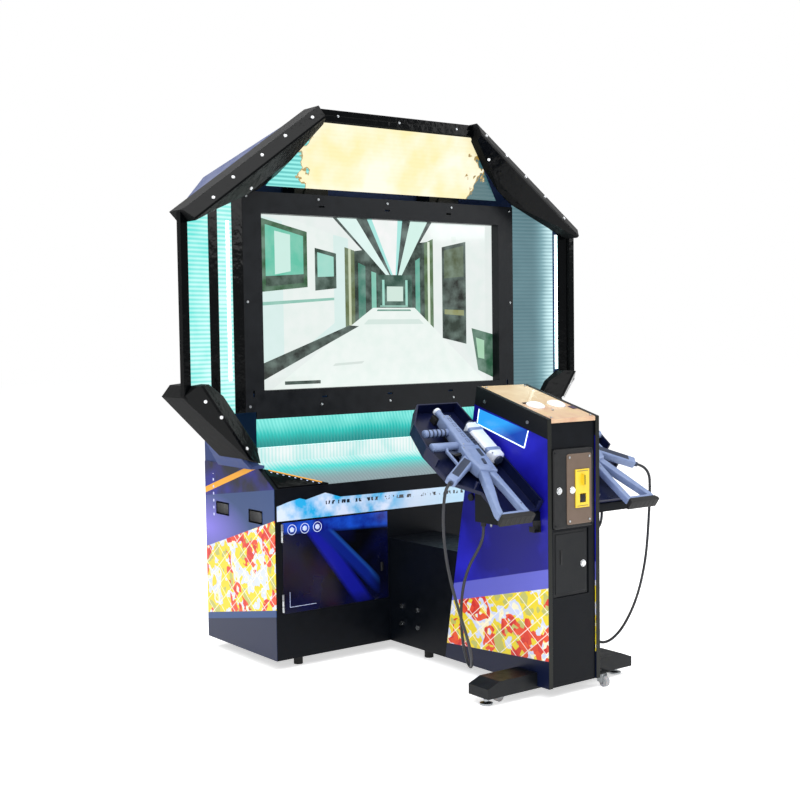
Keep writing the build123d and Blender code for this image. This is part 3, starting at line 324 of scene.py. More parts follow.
# faces that look forwards are polished by the mould, and those turned outwards are left satin
turned = put(formed, "ShaderNodeSeparateXYZ", {0: put(formed, "ShaderNodeTexCoord").outputs["Normal"]}).outputs[1]
wire(formed, put(formed, "ShaderNodeMapRange", {0: turned, 1: -0.45, 2: -0.15, 3: 0.12, 4: 0.75}).outputs[0],
     "Roughness")
# sprayed enamel on board: flat and a little uneven
hood_paint = grain(new_finish("hood_blue_grey_enamel", "#333f68", 0.6, Specular_IOR_Level=0.1), "#4a5888", 0.0016, 0.6,
                   0.0002, rough=(0.55, 0.7))
# injection-moulded ABS with spark grain: matt, with a faint sparkle
moulded = grain(new_finish("grained_black_abs", "#060709", 0.5, Specular_IOR_Level=0.35), "#101215", 0.0008, 0.5,
                0.0003, rough=(0.42, 0.6))
# passivated steel sheet: dull metallic grey
cases = grain(new_finish("grey_steel_case", "#5a5e63", 0.45, Metallic=0.6), "#777b80", 0.001, 0.6, 0.0002)
# zinc plate: bright, cloudy metal
zinc = grain(new_finish("zinc_plated_steel", "#b4b8bb", 0.28, Metallic=1.0), "#8f9396", 0.0009, 0.7, 0.0001, 0.0008,
             rough=(0.2, 0.38))
# polished chrome plate: sharp highlights
chrome = grain(new_finish("chromed_brass", "#d8dadc", 0.08, Metallic=1.0), "#c2c5c8", 0.004, 0.4, 0.00003, 0.0006,
               rough=(0.05, 0.14))
# moulded rubber: no gloss to speak of
rubber = grain(new_finish("black_rubber", "#0c0c0d", 0.75), "#1b1b1c", 0.0007, 0.6, 0.0003)
# cast polyurethane: waxy, as light goes a little way in
tyre = grain(new_finish("grey_polyurethane", "#8d8f92", 0.4, Subsurface_Weight=0.1), "#a9abad", 0.002, 0.6, 0.0001)
# lacquered zinc casting: a warm, dull metal
coin_brown = grain(new_finish("bronze_zinc_casting", "#5a4a3c", 0.4, Metallic=0.3), "#77655a", 0.0012, 0.7, 0.0002,
                   rough=(0.32, 0.5))
# moulded acetal: slick and even
coin_yellow = grain(new_finish("yellow_acetal", "#d9b81c", 0.32), "#f0d84a", 0.0012, 0.5, 0.0001)
# milky polycarbonate with a lamp inside
milk_button = grain(new_finish("milky_button_polycarbonate", "#eef0ee", 0.18, Subsurface_Weight=0.2,
                               Emission_Color=colour("#dfe8ff"), Emission_Strength=0.25),
                    "#d9dedd", 0.003, 0.4, 0.00005)
# the guns' moulded ABS: satin, rubbed brighter where it is handled
gun_shell = grain(new_finish("gun_blue_grey_abs", "#66789f", 0.42), "#8a9bbf", 0.0009, 0.8, 0.0002, rough=(0.34, 0.52))
gun_pale = grain(new_finish("gun_pale_abs", "#ccd6e8", 0.36), "#f1f4fa", 0.0009, 0.7, 0.0002)
gun_dark = grain(new_finish("gun_dark_abs", "#1c2538", 0.45), "#2f3c58", 0.0009, 0.6, 0.0002)
# enamel on folded steel: dark, with a soft sheen
tray_paint = grain(new_finish("tray_navy_paint", "#060a20", 0.35, Specular_IOR_Level=0.3), "#101a48", 0.0014, 0.7,
                   0.0002, rough=(0.26, 0.42))
# closed-cell foam: matt and pitted
liner_foam = grain(new_finish("black_liner_foam", "#0b0c0e", 0.9), "#15171a", 0.0012, 0.7, 0.0008)
print("finishes so far", len(bpy.data.materials))

# %% [markdown]
# ## Lit ribbed acrylic
# The wings beside the screen, the marquee's ends and the shelf below it are ribbed acrylic lit by
# strips behind it. The ribs are 16 mm apart. Light falls off with distance from the strip, and each
# rib is brighter on one flank, so brightness follows a wave along the ribs times a distance curve.

# %% Ribbed panel finish
def ribbed(material, lamp_place, lamp_facing, reach, rib_axis, pitch=0.016, dim="#0b5f66", mid="#2fe0d6", hot="#eafffd",
           floor_level=0.06, rib_depth=0.28):
    """Colour of lit acrylic: brightest at the plane of the lamp, fading over reach metres."""
    facing = Vector(lamp_facing).normalized()
    off = put(material, "ShaderNodeVectorMath", {0: spot(material), 1: facing},
              operation="DOT_PRODUCT").outputs["Value"]
    gap = put(material, "ShaderNodeMath", {0: off, 1: Vector(lamp_place).dot(facing)}, operation="SUBTRACT").outputs[0]
    far = put(material, "ShaderNodeMath", {0: gap}, operation="ABSOLUTE").outputs[0]
    glow = put(material, "ShaderNodeMapRange", {0: far, 1: 0.0, 2: reach, 3: 1.0, 4: floor_level},
               interpolation_type="SMOOTHERSTEP")
    along = put(material, "ShaderNodeVectorMath", {0: spot(material), 1: rib_axis},
                operation="DOT_PRODUCT").outputs["Value"]
    turns = put(material, "ShaderNodeMath", {0: along, 1: 2 * pi / pitch}, operation="MULTIPLY").outputs[0]
    wave = put(material, "ShaderNodeMath", {0: turns}, operation="SINE").outputs[0]
    rib = put(material, "ShaderNodeMapRange", {0: wave, 1: -1.0, 2: 1.0, 3: 1.0 - rib_depth, 4: 1.0}).outputs[0]
    level = both(material, glow.outputs[0], rib, clouds(material, 0.12, 2.0, 0.3, 0.7, 0.85, 1.1))
    ramp = put(material, "ShaderNodeValToRGB", {0: level})
    ramp.color_ramp.elements[0].color = colour(dim)
    ramp.color_ramp.elements[1].color = colour(hot)
    ramp.color_ramp.elements.new(0.5).color = colour(mid)
    add_relief(material, wave, 0.0012, 0.8)
    return ramp.outputs[0]


# %% Wings, shelf and lamp strips
wing_light = new_finish("ribbed_acrylic_wing", "#0c2024", 0.3, Specular_IOR_Level=0.25, Emission_Strength=1.0)
left_glow = ribbed(wing_light, (-0.766, 0, 0), (1, 0, 0), 0.60, (0, 0, 1), dim="#06666e", mid="#16dccf", hot="#d6fffb",
                   floor_level=0.3)
# right of the middle the glow is painted dim and grey, with its lamp put near the rim: painted shade on this wing
right_glow_painted_dim = ribbed(wing_light, (0.903, 0, 0), (1, 0, 0), 0.13, (0, 0, 1), dim="#3f5962", mid="#7fa6ae", hot="#d8fbff",
                    floor_level=0.22)
wing_glow = blend_colours(wing_light, side_of(wing_light, (0, 0, 0), (1, 0, 0)), left_glow, right_glow_painted_dim)
wire(wing_light, wing_glow, "Emission Color")
shelf_light = new_finish("ribbed_acrylic_shelf", "#0c2024", 0.3, Specular_IOR_Level=0.25, Emission_Strength=0.92)
upper_shelf = ribbed(shelf_light, (0, 0, 0.965), (0, 0, 1), 0.13, (1, 0, 0.35), 0.016, dim="#1a6f70", mid="#2fcabf",
                     hot="#8ff6ec",
                     floor_level=0.15, rib_depth=0.2)
lower_shelf = ribbed(shelf_light, (0, front + 0.150, 0.846), (0, 1, 0.95), 0.20, (1, 0, 0), 0.016, dim="#8f9fa4",
                     mid="#4be2da",
                     hot="#f8fffe", floor_level=0.0, rib_depth=0.16)
shelf_glow = blend_colours(shelf_light, side_of(shelf_light, (0, 0, 0.849), (0, 0, 1)), lower_shelf, upper_shelf)
wire(shelf_light, shelf_glow, "Emission Color")
strip_light = new_finish("white_lamp_strip", "#ffffff", 0.3, Emission_Strength=3.0)
dots = put(strip_light, "ShaderNodeTexWave", {"Vector": spot(strip_light), "Scale": 16.0}, bands_direction="Z")
wire(strip_light, blend_colours(strip_light, dots.outputs[0], "#8ff6ee", "#f4ffff"), "Emission Color")
print("lit finishes", wing_light.name, shelf_light.name, strip_light.name)

# %% [markdown]
# ## Printed vinyl
# The base's sides carry a deep blue print: an orange stripe that falls towards the back, a slate band,
# and a mosaic of warm patches over a dark foot. The panels are cut by half-planes. The mosaic is noise
# cut into flat steps, red leaves from a Voronoi pattern, and a lattice of white lines 62 mm apart.

# %% Parts that several prints share
def mosaic(material, size):
    """Yellow and pale ground with red leaves, under a diamond lattice of thin white lines."""
    cloud = speckle(material, size * 1.6, 2.0).outputs[0]
    ramp = put(material, "ShaderNodeValToRGB", {0: cloud})
    ramp.color_ramp.interpolation = "CONSTANT"
    ramp.color_ramp.elements[0].color = colour("#b9b765")
    ramp.color_ramp.elements[1].position = 0.40
    ramp.color_ramp.elements[1].color = colour("#e6cf2e")
    for place, code in ((0.52, "#ccd3ee"), (0.60, "#f1e9c8"), (0.66, "#eccf38")):
        ramp.color_ramp.elements.new(place).color = colour(code)
    cells = put(material, "ShaderNodeTexVoronoi", {"Vector": spot(material), "Scale": 2.2 / size, "Randomness": 1.0})
    pick = put(material, "ShaderNodeSeparateColor", {0: cells.outputs["Color"]})
    where = speckle(material, size * 2.2, 1.0, put(material, "ShaderNodeMapping",
                                                   {"Vector": spot(material), "Location": (3, 5, 7)}).outputs[0])
    leaf = both(material, put(material, "ShaderNodeMath", {0: pick.outputs[0], 1: 0.36},
                              operation="GREATER_THAN").outputs[0],
                put(material, "ShaderNodeMath", {0: where.outputs[0], 1: 0.52}, operation="GREATER_THAN").outputs[0])
    tint = blend_colours(material, pick.outputs[1], "#c9242a", "#e8542e")
    result = blend_colours(material, leaf, ramp.outputs[0], tint)
    for lean in ((0, 1, 1.3), (0, 1, -1.3)):
        along = put(material, "ShaderNodeVectorMath", {0: spot(material), 1: Vector(lean).normalized()},
                    operation="DOT_PRODUCT")
        turn = put(material, "ShaderNodeMath", {0: along.outputs["Value"], 1: 0.031}, operation="PINGPONG").outputs[0]
        thin = put(material, "ShaderNodeMath", {0: turn, 1: 0.0016}, operation="LESS_THAN").outputs[0]
        faint = put(material, "ShaderNodeMath", {0: thin, 1: 0.75}, operation="MULTIPLY").outputs[0]
        result = blend_colours(material, faint, result, "#f6f4ea")
    return result


def deep_blue(material, size, dark, bright):
    """Clouded ink between two blues."""
    return blend_colours(material, clouds(material, size, 3.0, 0.4, 0.68), dark, bright)


def at(y, z):
    """A place on a side panel, in metres behind the base's front face and above the floor."""
    return (0, front + y, z)


# %% Base sides
base_print = new_finish("printed_vinyl_base_side", "#101a50", 0.36, Specular_IOR_Level=0.22)
m = base_print
ground = deep_blue(m, 0.16, "#05071e", "#16188c")
slate = both(m, side_of(m, at(0.0, 0.700), (0, -0.13, -1)), side_of(m, at(0.55, 0.42), (0, 0.2, 1)))
ground = blend_colours(m, slate, ground, "#2b4474")
glow_gap = put(m, "ShaderNodeVectorMath", {0: spot(m), 1: at(0.56, 0.50)}, operation="SUBTRACT").outputs[0]
glow_flat = put(m, "ShaderNodeVectorMath", {0: glow_gap, 1: (0, 2.6, 6.5)}, operation="MULTIPLY").outputs[0]
glow_far = put(m, "ShaderNodeVectorMath", {0: glow_flat}, operation="LENGTH").outputs["Value"]
glow = put(m, "ShaderNodeMapRange", {0: glow_far, 1: 0.0, 2: 1.0, 3: 0.95, 4: 0.0}).outputs[0]
ground = blend_colours(m, glow, ground, "#8478e0")
stripe = both(m, side_of(m, at(0.560, 0.636), (0, 0.31, 1)), side_of(m, at(0.560, 0.660), (0, -0.31, -1)))
ground = blend_colours(m, stripe, ground, "#eda52c")
upper = both(m, side_of(m, at(0.553, 0.417), (0, -0.30, -1)), side_of(m, at(0.010, 0.578), (0, -0.30, -1)))
foot_top = side_of(m, at(0.550, 0.138), (0, 0.18, 1))
ground = blend_colours(m, both(m, upper, foot_top), ground, mosaic(m, 0.045))
foot = side_of(m, at(0.550, 0.138), (0, -0.18, -1))
ground = blend_colours(m, foot, ground, "#0c1a3c")
ground = blend_colours(m, both(m, foot, side_of(m, at(0.550, 0.112), (0, 0.18, 1))), ground, "#27467a")
hole_row = put(m, "ShaderNodeTexWave", {"Vector": spot(m), "Scale": 11.0}, bands_direction="Z").outputs[0]
hole_dots = put(m, "ShaderNodeMath", {0: hole_row, 1: 0.7}, operation="GREATER_THAN").outputs[0]
dot_line = both(m, side_of(m, at(0.474, 0.0), (0, 1, 0)), side_of(m, at(0.484, 0.0), (0, -1, 0)),
                side_of(m, at(0, 0.535), (0, 0, 1)), side_of(m, at(0, 0.725), (0, 0, -1)), hole_dots)
ground = blend_colours(m, dot_line, ground, "#c9cdf0")
wire(m, ground, "Base Color")
add_relief(m, speckle(m, 0.004).outputs[0], 0.00008, 0.5, 0.001)
print(m.name, "nodes", len(m.node_tree.nodes))

# %% [markdown]
# ## Front door and banner
# The door's print is nearly black, with blue beams that fall from its head to the right, under a
# brighter band. The banner above it is a pale sky with cyan clouds at its left end and a line of
# dark marks that stand for small print: noise cut at a level, so they are no letters.

# %% Front door
front_print = new_finish("printed_vinyl_front_door", "#070a26", 0.16, Specular_IOR_Level=0.3)
m = front_print
ground = deep_blue(m, 0.20, "#020308", "#060a34")
# each beam: a place on its middle, its lean, its colour and half its width
beams = [((-0.402, 0, 0.42), (0.80, 0, 0.60), "#12188c", 0.030),
         ((-0.402, 0, 0.51), (0.69, 0, 0.72), "#2563c4", 0.006),
         ((-0.42, 0, 0.50), (0.69, 0, 0.72), "#0c1f78", 0.022)]
for place, lean, code, width in beams:
    facing, place = Vector(lean).normalized(), Vector(place)
    beam = both(m, side_of(m, place - facing * width, facing, 0.018),
                side_of(m, place + facing * width, -facing, 0.018),
                side_of(m, (-0.20, 0, 0), (-1, 0, 0), 0.06), side_of(m, (0, 0, 0.235), (0, 0, 1), 0.06))
    ground = blend_colours(m, beam, ground, code)
head_band = side_of(m, (0, 0, 0.505), (0.04, 0, 1), 0.016)
ground = blend_colours(m, head_band, ground, blend_colours(m, clouds(m, 0.07, 4.0, 0.35, 0.7), "#0a1470", "#1a50c8"))
wire(m, ground, "Base Color")
add_relief(m, speckle(m, 0.004).outputs[0], 0.00006, 0.4, 0.001)
print(m.name, "nodes", len(m.node_tree.nodes))

# %% Banner
banner_print = new_finish("printed_vinyl_banner", "#c6d2e6", 0.25, Coat_Weight=0.3)
m = banner_print
cyan_left = both(m, clouds(m, 0.09, 4.0, 0.42, 0.62), side_of(m, (-0.42, 0, 0), (-1, 0, 0.6), 0.12))
ground = blend_colours(m, cyan_left, "#c3cfe4", "#1f9bd0")
ground = blend_colours(m, side_of(m, (0.08, 0, 0.60), (1, 0, -0.5), 0.25), ground, "#a9cce2")
tall = put(m, "ShaderNodeMapping", {"Vector": spot(m), "Scale": (1, 1, 0.35)}).outputs[0]
marks = put(m, "ShaderNodeTexNoise", {"Vector": tall, "Scale": 95.0, "Detail": 1.0})
ink = put(m, "ShaderNodeMath", {0: marks.outputs[0], 1: 0.56}, operation="GREATER_THAN").outputs[0]
line = both(m, side_of(m, (-0.43, 0, 0.624), (0.02, 0, 1)), side_of(m, (-0.43, 0, 0.638), (-0.02, 0, -1)),
            side_of(m, (-0.43, 0, 0), (1, 0, 0)),
            side_of(m, (0.30, 0, 0), (-1, 0, 0)), ink)
ground = blend_colours(m, line, ground, "#18202e")
wire(m, ground, "Base Color")
# painted light: the printed banner is made to glow faintly in its own colours
wire(m, ground, "Emission Color")
shader_of(m).inputs["Emission Strength"].default_value = 0.12
add_relief(m, speckle(m, 0.003).outputs[0], 0.00006, 0.4)
print(m.name, "nodes", len(m.node_tree.nodes))

# %% [markdown]
# ## Console prints
# The console's sides repeat the base's blue, pale band and mosaic, on panels that lean the other way,
# and their cap and front edge are black. Its top is a tan plate, a little redder near the player, and
# the side windows are blue acrylic that is brightest along the top.

# %% Console sides, top and windows
console_slope = 0.2766                       # rise of the console's top, per metre towards the screen
console_print = new_finish("printed_vinyl_console", "#1818a0", 0.34, Specular_IOR_Level=0.22)
m = console_print
ground = deep_blue(m, 0.22, "#0f0c78", "#2322b8")
pale_band = both(m, side_of(m, at(-0.448, 0.345), (0, -0.243, -1)), side_of(m, at(-0.448, 0.265), (0, 0.22, 1)))
ground = blend_colours(m, pale_band, ground, "#5f62c4")
art = both(m, side_of(m, at(-0.504, 0.108), (0, 0.07, 1)), side_of(m, at(-0.417, 0.272), (0, -0.24, -1)))
ground = blend_colours(m, art, ground, mosaic(m, 0.05))
ground = blend_colours(m, side_of(m, at(-0.504, 0.108), (0, -0.07, -1)), ground, "#0c1430")
ground = blend_colours(m, side_of(m, at(-0.936, 0.984 - 0.070), (0, -console_slope, 1), 0.001), ground, "#0a0c10")
ground = blend_colours(m, side_of(m, at(-0.9345, 0), (0, -1, 0), 0.001), ground, "#10130f")
wire(m, ground, "Base Color")
add_relief(m, speckle(m, 0.004).outputs[0], 0.00008, 0.5, 0.001)

tan_print = new_finish("printed_tan_plate", "#c9ab80", 0.34, Coat_Weight=0.2)
m = tan_print
wash = clouds(m, 0.10, 4.0, 0.35, 0.65)
ground = blend_colours(m, wash, "#cdb28a", "#e0cdaa")
ground = blend_colours(m, both(m, side_of(m, at(-0.75, 0), (0, -1, 0), 0.08), wash), ground, "#b98a70")
wire(m, ground, "Base Color")
add_relief(m, speckle(m, 0.0015).outputs[0], 0.0001, 0.5, 0.001)

window_light = new_finish("lit_window_acrylic", "#123a86", 0.2, Emission_Strength=0.9)
m = window_light
sweep = side_of(m, at(-0.70, 0.93), (0, console_slope, 1), 0.05)
wire(m, blend_colours(m, sweep, "#0b2f8a", "#2fa9ee"), "Emission Color")
add_relief(m, speckle(m, 0.003).outputs[0], 0.0001, 0.4)
print("console prints", console_print.name, tan_print.name, window_light.name)

# %% [markdown]
# ## Marquee
# The marquee is ribbed acrylic lit from behind. A pale, warm panel with a ragged edge stands in its
# middle, rimmed in brown, where a title would be. Its edge is ragged because the half-planes that cut
# it read a place that noise has moved by a few centimetres.

# %% Marquee print
marquee_print = new_finish("lit_marquee_acrylic", "#3a3a30", 0.25, Emission_Strength=0.93)
m = marquee_print
rib_turn = put(m, "ShaderNodeTexWave", {"Vector": spot(m), "Scale": 20.0}, bands_direction="Z").outputs[0]
ends = blend_colours(m, rib_turn, "#2fb9b8", "#8ff4ee")
ends = blend_colours(m, side_of(m, (0.33, 0, 2.0), (1, 0, 0.25), 0.10), ends, "#0f5a68")
middle = blend_colours(m, clouds(m, 0.16, 3.0, 0.35, 0.65), "#fdeeb0", "#fffbe6")
ragged = put(m, "ShaderNodeVectorMath", {0: speckle(m, 0.05, 4.0).outputs["Color"], 1: spot(m), 2: spot(m)},
             operation="MULTIPLY_ADD").outputs[0]


def ragged_panel(half_width, low):
    """1 between two leaning sides and above a height, all with ragged edges."""
    cuts = (((-half_width, 0, 0), (1, 0, 0.1)), ((half_width, 0, 0), (-1, 0, 0.1)), ((0, 0, low), (0, 0, 1)))
    return both(m, *[side_of(m, place, facing, 0.012, ragged) for place, facing in cuts])


ground = blend_colours(m, ragged_panel(0.36, 1.918), ends, "#a8842c")
ground = blend_colours(m, ragged_panel(0.34, 1.935), ground, middle)
wire(m, ground, "Emission Color")
add_relief(m, rib_turn, 0.0006, 0.5)
print(m.name, "nodes", len(m.node_tree.nodes))

# %% [markdown]
# ## Finishes on the CAD nodes
# A CAD node whose shape is already right keeps its mesh and only takes a finish.

# %% Give each kept node its finish
finish_of = {
    melamine: ["base_cabinet", "rear_door", "bridge_box", "console_body", "holster_blocks"],
    base_print: ["side_art_panels"], front_print: ["front_service_door"], banner_print: ["front_banner"],
    powder: ["screen_bezel", "crossbar", "cash_door", "speakers"],
    formed: ["hood_front_frame", "corner_trims_upper", "corner_trims_lower", "shelf_corners"],
    hood_paint: ["hood_shell"], marquee_print: ["marquee_panel"], shelf_light: ["lower_light_panels"],
    strip_light: ["led_strips"], moulded: ["mains_inlet", "holster_fittings", "coin_door_frame", "lcd_monitor",
                                          "gun_left_trigger", "gun_right_trigger"],
    cases: ["game_computer", "power_supply", "coin_mech"], console_print: ["console_side_panels"],
    tan_print: ["console_top"], window_light: ["console_windows"], coin_brown: ["coin_plate"],
    coin_yellow: ["coin_entry"], milk_button: ["reject_button", "start_button_left", "start_button_right"],
    zinc: ["cash_box", "fixing_screws", "caster_fork_left", "caster_fork_right", "leveller_left", "leveller_right"],
    chrome: ["coin_lock", "cash_lock"], tyre: ["caster_wheel_left", "caster_wheel_right"],
    rubber: ["base_feet"], tray_paint: ["holster_left", "holster_right"], wing_light: ["wing_panels"],
}
for finish, names in finish_of.items():
    for name in names:
        nodes[name].data.materials.clear()
        nodes[name].data.materials.append(finish)
print("finished CAD nodes", sum(len(names) for names in finish_of.values()))

# %% [markdown]
# ## Modelling helpers
# Each new piece starts as a cube, cylinder or disc put where it belongs, is shaped in edit mode, and
# gets rounded edges. Its place is then applied, so its object sits at the origin like a CAD node's.

# %% Blocks, rods and plates
def clear_choice():
    """Back to object mode with nothing selected."""
    if bpy.context.mode != "OBJECT":
        bpy.ops.object.mode_set(mode="OBJECT")
    bpy.ops.object.select_all(action="DESELECT")


def round_edges(piece, width, segments=2, smooth=35):
    """Bevel by a modifier, applied, then smooth shading across gentle angles."""
    clear_choice()
    piece.select_set(True)
    bpy.context.view_layer.objects.active = piece
    if width:
        bevel = piece.modifiers.new("Rounding", "BEVEL")
        bevel.width = width
        bevel.segments = segments
        bevel.limit_method = "ANGLE"
        bevel.angle_limit = radians(30)
        bpy.ops.object.modifier_apply(modifier="Rounding")
    bpy.ops.object.shade_smooth_by_angle(angle=radians(smooth))
    return piece


def done(piece, name, finish, body):
    """Applies the place, names the piece, gives it its finish and lets it ride on a body."""
    clear_choice()
    piece.select_set(True)
    bpy.context.view_layer.objects.active = piece
    bpy.ops.object.transform_apply(location=True, rotation=True, scale=True)
    piece.name = name
    piece.data.name = name
    piece.data.materials.clear()
    piece.data.materials.append(finish)
    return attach(piece, body)


def block(name, low, high, finish, body, bevel=0.0015, segments=2):
    """Box between two corners."""
    clear_choice()
    low, high = Vector(low), Vector(high)
    bpy.ops.mesh.primitive_cube_add(size=1, location=(low + high) / 2)
    piece = bpy.context.object
    piece.scale = high - low
    bpy.ops.object.transform_apply(location=False, rotation=False, scale=True)
    round_edges(piece, bevel, segments)
    return done(piece, name, finish, body)


def rod(name, start, end, radius, finish, body, sides=32, bevel=0.0, end_radius=None):
    """Round bar or cone from one point to another."""
    clear_choice()
    start, end = Vector(start), Vector(end)
    way = end - start
    bpy.ops.mesh.primitive_cone_add(vertices=sides, radius1=radius,
                                    radius2=radius if end_radius is None else end_radius,
                                    depth=way.length, location=(start + end) / 2,
                                    rotation=way.to_track_quat("Z", "Y").to_euler())
    piece = bpy.context.object
    round_edges(piece, bevel)
    return done(piece, name, finish, body)


def plate(name, corners, depth, finish, body, bevel=0.0015, segments=2, inset=None):
    """Flat shape through its corners, thickened by a vector; inset sinks its first face."""
    clear_choice()
    bpy.ops.mesh.primitive_circle_add(vertices=len(corners), fill_type="NGON", location=(0, 0, 0))
    piece = bpy.context.object
    for vertex, corner in zip(piece.data.vertices, corners):
        vertex.co = corner
    bpy.ops.object.mode_set(mode="EDIT")
    bpy.ops.mesh.select_all(action="SELECT")
    if depth is not None:
        bpy.ops.mesh.extrude_region_move(TRANSFORM_OT_translate={"value": Vector(depth)})
        if inset:
            bpy.ops.mesh.inset(thickness=inset[0])
            bpy.ops.transform.translate(value=Vector(depth).normalized() * -inset[1])
    bpy.ops.mesh.select_all(action="SELECT")
    bpy.ops.mesh.normals_make_consistent(inside=False)
    bpy.ops.object.mode_set(mode="OBJECT")
    round_edges(piece, bevel, segments)
    return done(piece, name, finish, body)


def ring(name, centre, axis, major, minor, finish, body):
    """Round ring of a major and a minor radius."""
    clear_choice()
    bpy.ops.mesh.primitive_torus_add(location=centre, rotation=Vector(axis).to_track_quat("Z", "Y").to_euler(),
                                     major_radius=major, minor_radius=minor, major_segments=40, minor_segments=12)
    piece = bpy.context.object
    bpy.ops.object.shade_smooth()
    return done(piece, name, finish, body)


print("helpers for a block, a rod, a plate and a ring")

# %% [markdown]
# ## The screen
# The game picture is a bright corridor seen down its length: three light beams on the ceiling, pale
# walls with dark frames, green columns and a white floor. Every patch is a flat polygon on one mesh,
# coloured by a corner attribute, a hair in front of a thin black pane that replaces the CAD glass.

# %% Pane and corridor picture
glass_low, glass_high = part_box("screen_glass")
pane_black = grain(new_finish("black_screen_glass", "#050607", 0.06, Coat_Weight=0.6), "#0a0b0d", 0.02, 0.4, 0.00002,
                   rough=(0.04, 0.09))
pane = block("screen_pane", glass_low + Vector((0, 0.0006, 0)), glass_high, pane_black, "cabinet", 0.0005)
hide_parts("screen_glass")
view_half, view_low, view_high = 0.605, 1.070, 1.758
# each patch: its colour, then its four corners as fractions of the picture from its top left
patches = [
    ("#f2f8f6", (0, 0), (1, 0), (1, 1), (0, 1)),
    ("#e2f7f4", (0, 0), (0.36, 0.12), (0.36, 0.66), (0, 0.95)),
    ("#f4fbf8", (0.10, 0), (0.30, 0.10), (0.30, 0.62), (0.10, 0.86)),
    ("#2c3434", (0.30, 0), (0.72, 0), (0.565, 0.37), (0.535, 0.37)),
    ("#12291f", (0.35, 0.20), (0.70, 0.12), (0.72, 0.62), (0.36, 0.62)),
    ("#2c3434", (0.38, 0.0), (0.655, 0.0), (0.575, 0.36), (0.535, 0.36)),
    ("#e9fffb", (0.315, 0), (0.395, 0), (0.545, 0.36), (0.535, 0.36)),
    ("#a9efe8", (0.44, 0), (0.59, 0), (0.562, 0.36), (0.547, 0.36)),
    ("#ffffff", (0.46, 0), (0.57, 0), (0.558, 0.34), (0.549, 0.34)),
    ("#dcfbf2", (0.625, 0), (0.70, 0), (0.575, 0.36), (0.565, 0.36)),
    ("#3f7f6d", (0.40, 0.26), (0.43, 0.28), (0.43, 0.60), (0.40, 0.62)),
    ("#7fc9b4", (0.455, 0.31), (0.475, 0.32), (0.475, 0.56), (0.455, 0.57)),
    ("#1d4a3c", (0.48, 0.33), (0.63, 0.33), (0.63, 0.55), (0.48, 0.55)),
    ("#9fe0cf", (0.50, 0.36), (0.51, 0.36), (0.51, 0.52), (0.50, 0.52)),
    ("#9fe0cf", (0.60, 0.36), (0.61, 0.36), (0.61, 0.52), (0.60, 0.52)),
    ("#d9efe4", (0.52, 0.40), (0.59, 0.40), (0.59, 0.49), (0.52, 0.49)),
    ("#5fae99", (0.645, 0.24), (0.665, 0.22), (0.665, 0.60), (0.645, 0.58)),
    ("#5c6a3a", (0.345, 0.17), (0.385, 0.19), (0.385, 0.66), (0.345, 0.68)),
    ("#cfd9b8", (0.36, 0.18), (0.37, 0.18), (0.37, 0.66), (0.36, 0.66)),
    ("#4c6a3c", (0.685, 0.13), (0.725, 0.10), (0.725, 0.68), (0.685, 0.64)),
    ("#e6f2df", (0.70, 0.12), (0.71, 0.12), (0.71, 0.66), (0.70, 0.66)),
    ("#f7fffb", (0.46, 0.53), (0.64, 0.53), (0.96, 1.0), (0.05, 1.0)),
    ("#8fbfb0", (0.49, 0.515), (0.61, 0.515), (0.61, 0.525), (0.49, 0.525)),
    ("#6f9f90", (0.48, 0.54), (0.62, 0.54), (0.625, 0.55), (0.475, 0.55)),
    ("#dfeee8", (0.44, 0.60), (0.66, 0.60), (0.68, 0.63), (0.42, 0.63)),
    ("#1d2621", (0.0, 0.86), (0.36, 0.635), (0.40, 0.64), (0.0, 0.96)),
    ("#2a5a34", (0.02, 0.02), (0.195, 0.09), (0.195, 0.41), (0.02, 0.44)),
    ("#63c9ac", (0.035, 0.055), (0.18, 0.115), (0.18, 0.385), (0.035, 0.41)),
    ("#d4f6ec", (0.07, 0.09), (0.13, 0.11), (0.13, 0.32), (0.07, 0.34)),
    ("#12331f", (0.035, 0.35), (0.18, 0.335), (0.18, 0.385), (0.035, 0.41)),
    ("#1f3a2c", (0.225, 0.18), (0.31, 0.21), (0.31, 0.415), (0.225, 0.43)),
    ("#9fe0d0", (0.235, 0.205), (0.30, 0.23), (0.30, 0.345), (0.235, 0.35)),
    ("#8fc9b8", (0.0, 0.50), (0.30, 0.47), (0.30, 0.485), (0.0, 0.52)),
    ("#1b2a22", (0.765, 0.15), (0.875, 0.11), (0.875, 0.76), (0.765, 0.72)),
    ("#4d5a3a", (0.775, 0.17), (0.865, 0.135), (0.865, 0.33), (0.775, 0.345)),
    ("#12180f", (0.775, 0.36), (0.865, 0.35), (0.865, 0.53), (0.775, 0.525)),
    ("#8a8a4c", (0.775, 0.54), (0.865, 0.545), (0.865, 0.58), (0.775, 0.57)),
    ("#25352a", (0.775, 0.59), (0.865, 0.60), (0.865, 0.74), (0.775, 0.70)),
    ("#e9f3ee", (0.81, 0.08), (0.83, 0.08), (0.83, 0.12), (0.81, 0.12)),
    ("#2f5f45", (0.90, 0.66), (1.0, 0.70), (1.0, 0.98), (0.93, 0.93)),
    ("#a8d8b4", (0.92, 0.72), (0.96, 0.74), (0.96, 0.86), (0.93, 0.85)),
    ("#24302a", (0.10, 0.955), (0.24, 0.955), (0.24, 0.975), (0.10, 0.975)),
    ("#dfe9e4", (0.30, 0.86), (0.42, 0.85), (0.41, 0.865), (0.29, 0.875)),
]


def on_screen(place, layer):
    """A place given as fractions of the picture, in front of the pane; each layer is a hair nearer."""
    across, down = place
    return Vector((view_half * (2 * across - 1), glass_low.y + 0.0005 - layer * 0.00001,
                   view_high - (view_high - view_low) * down))


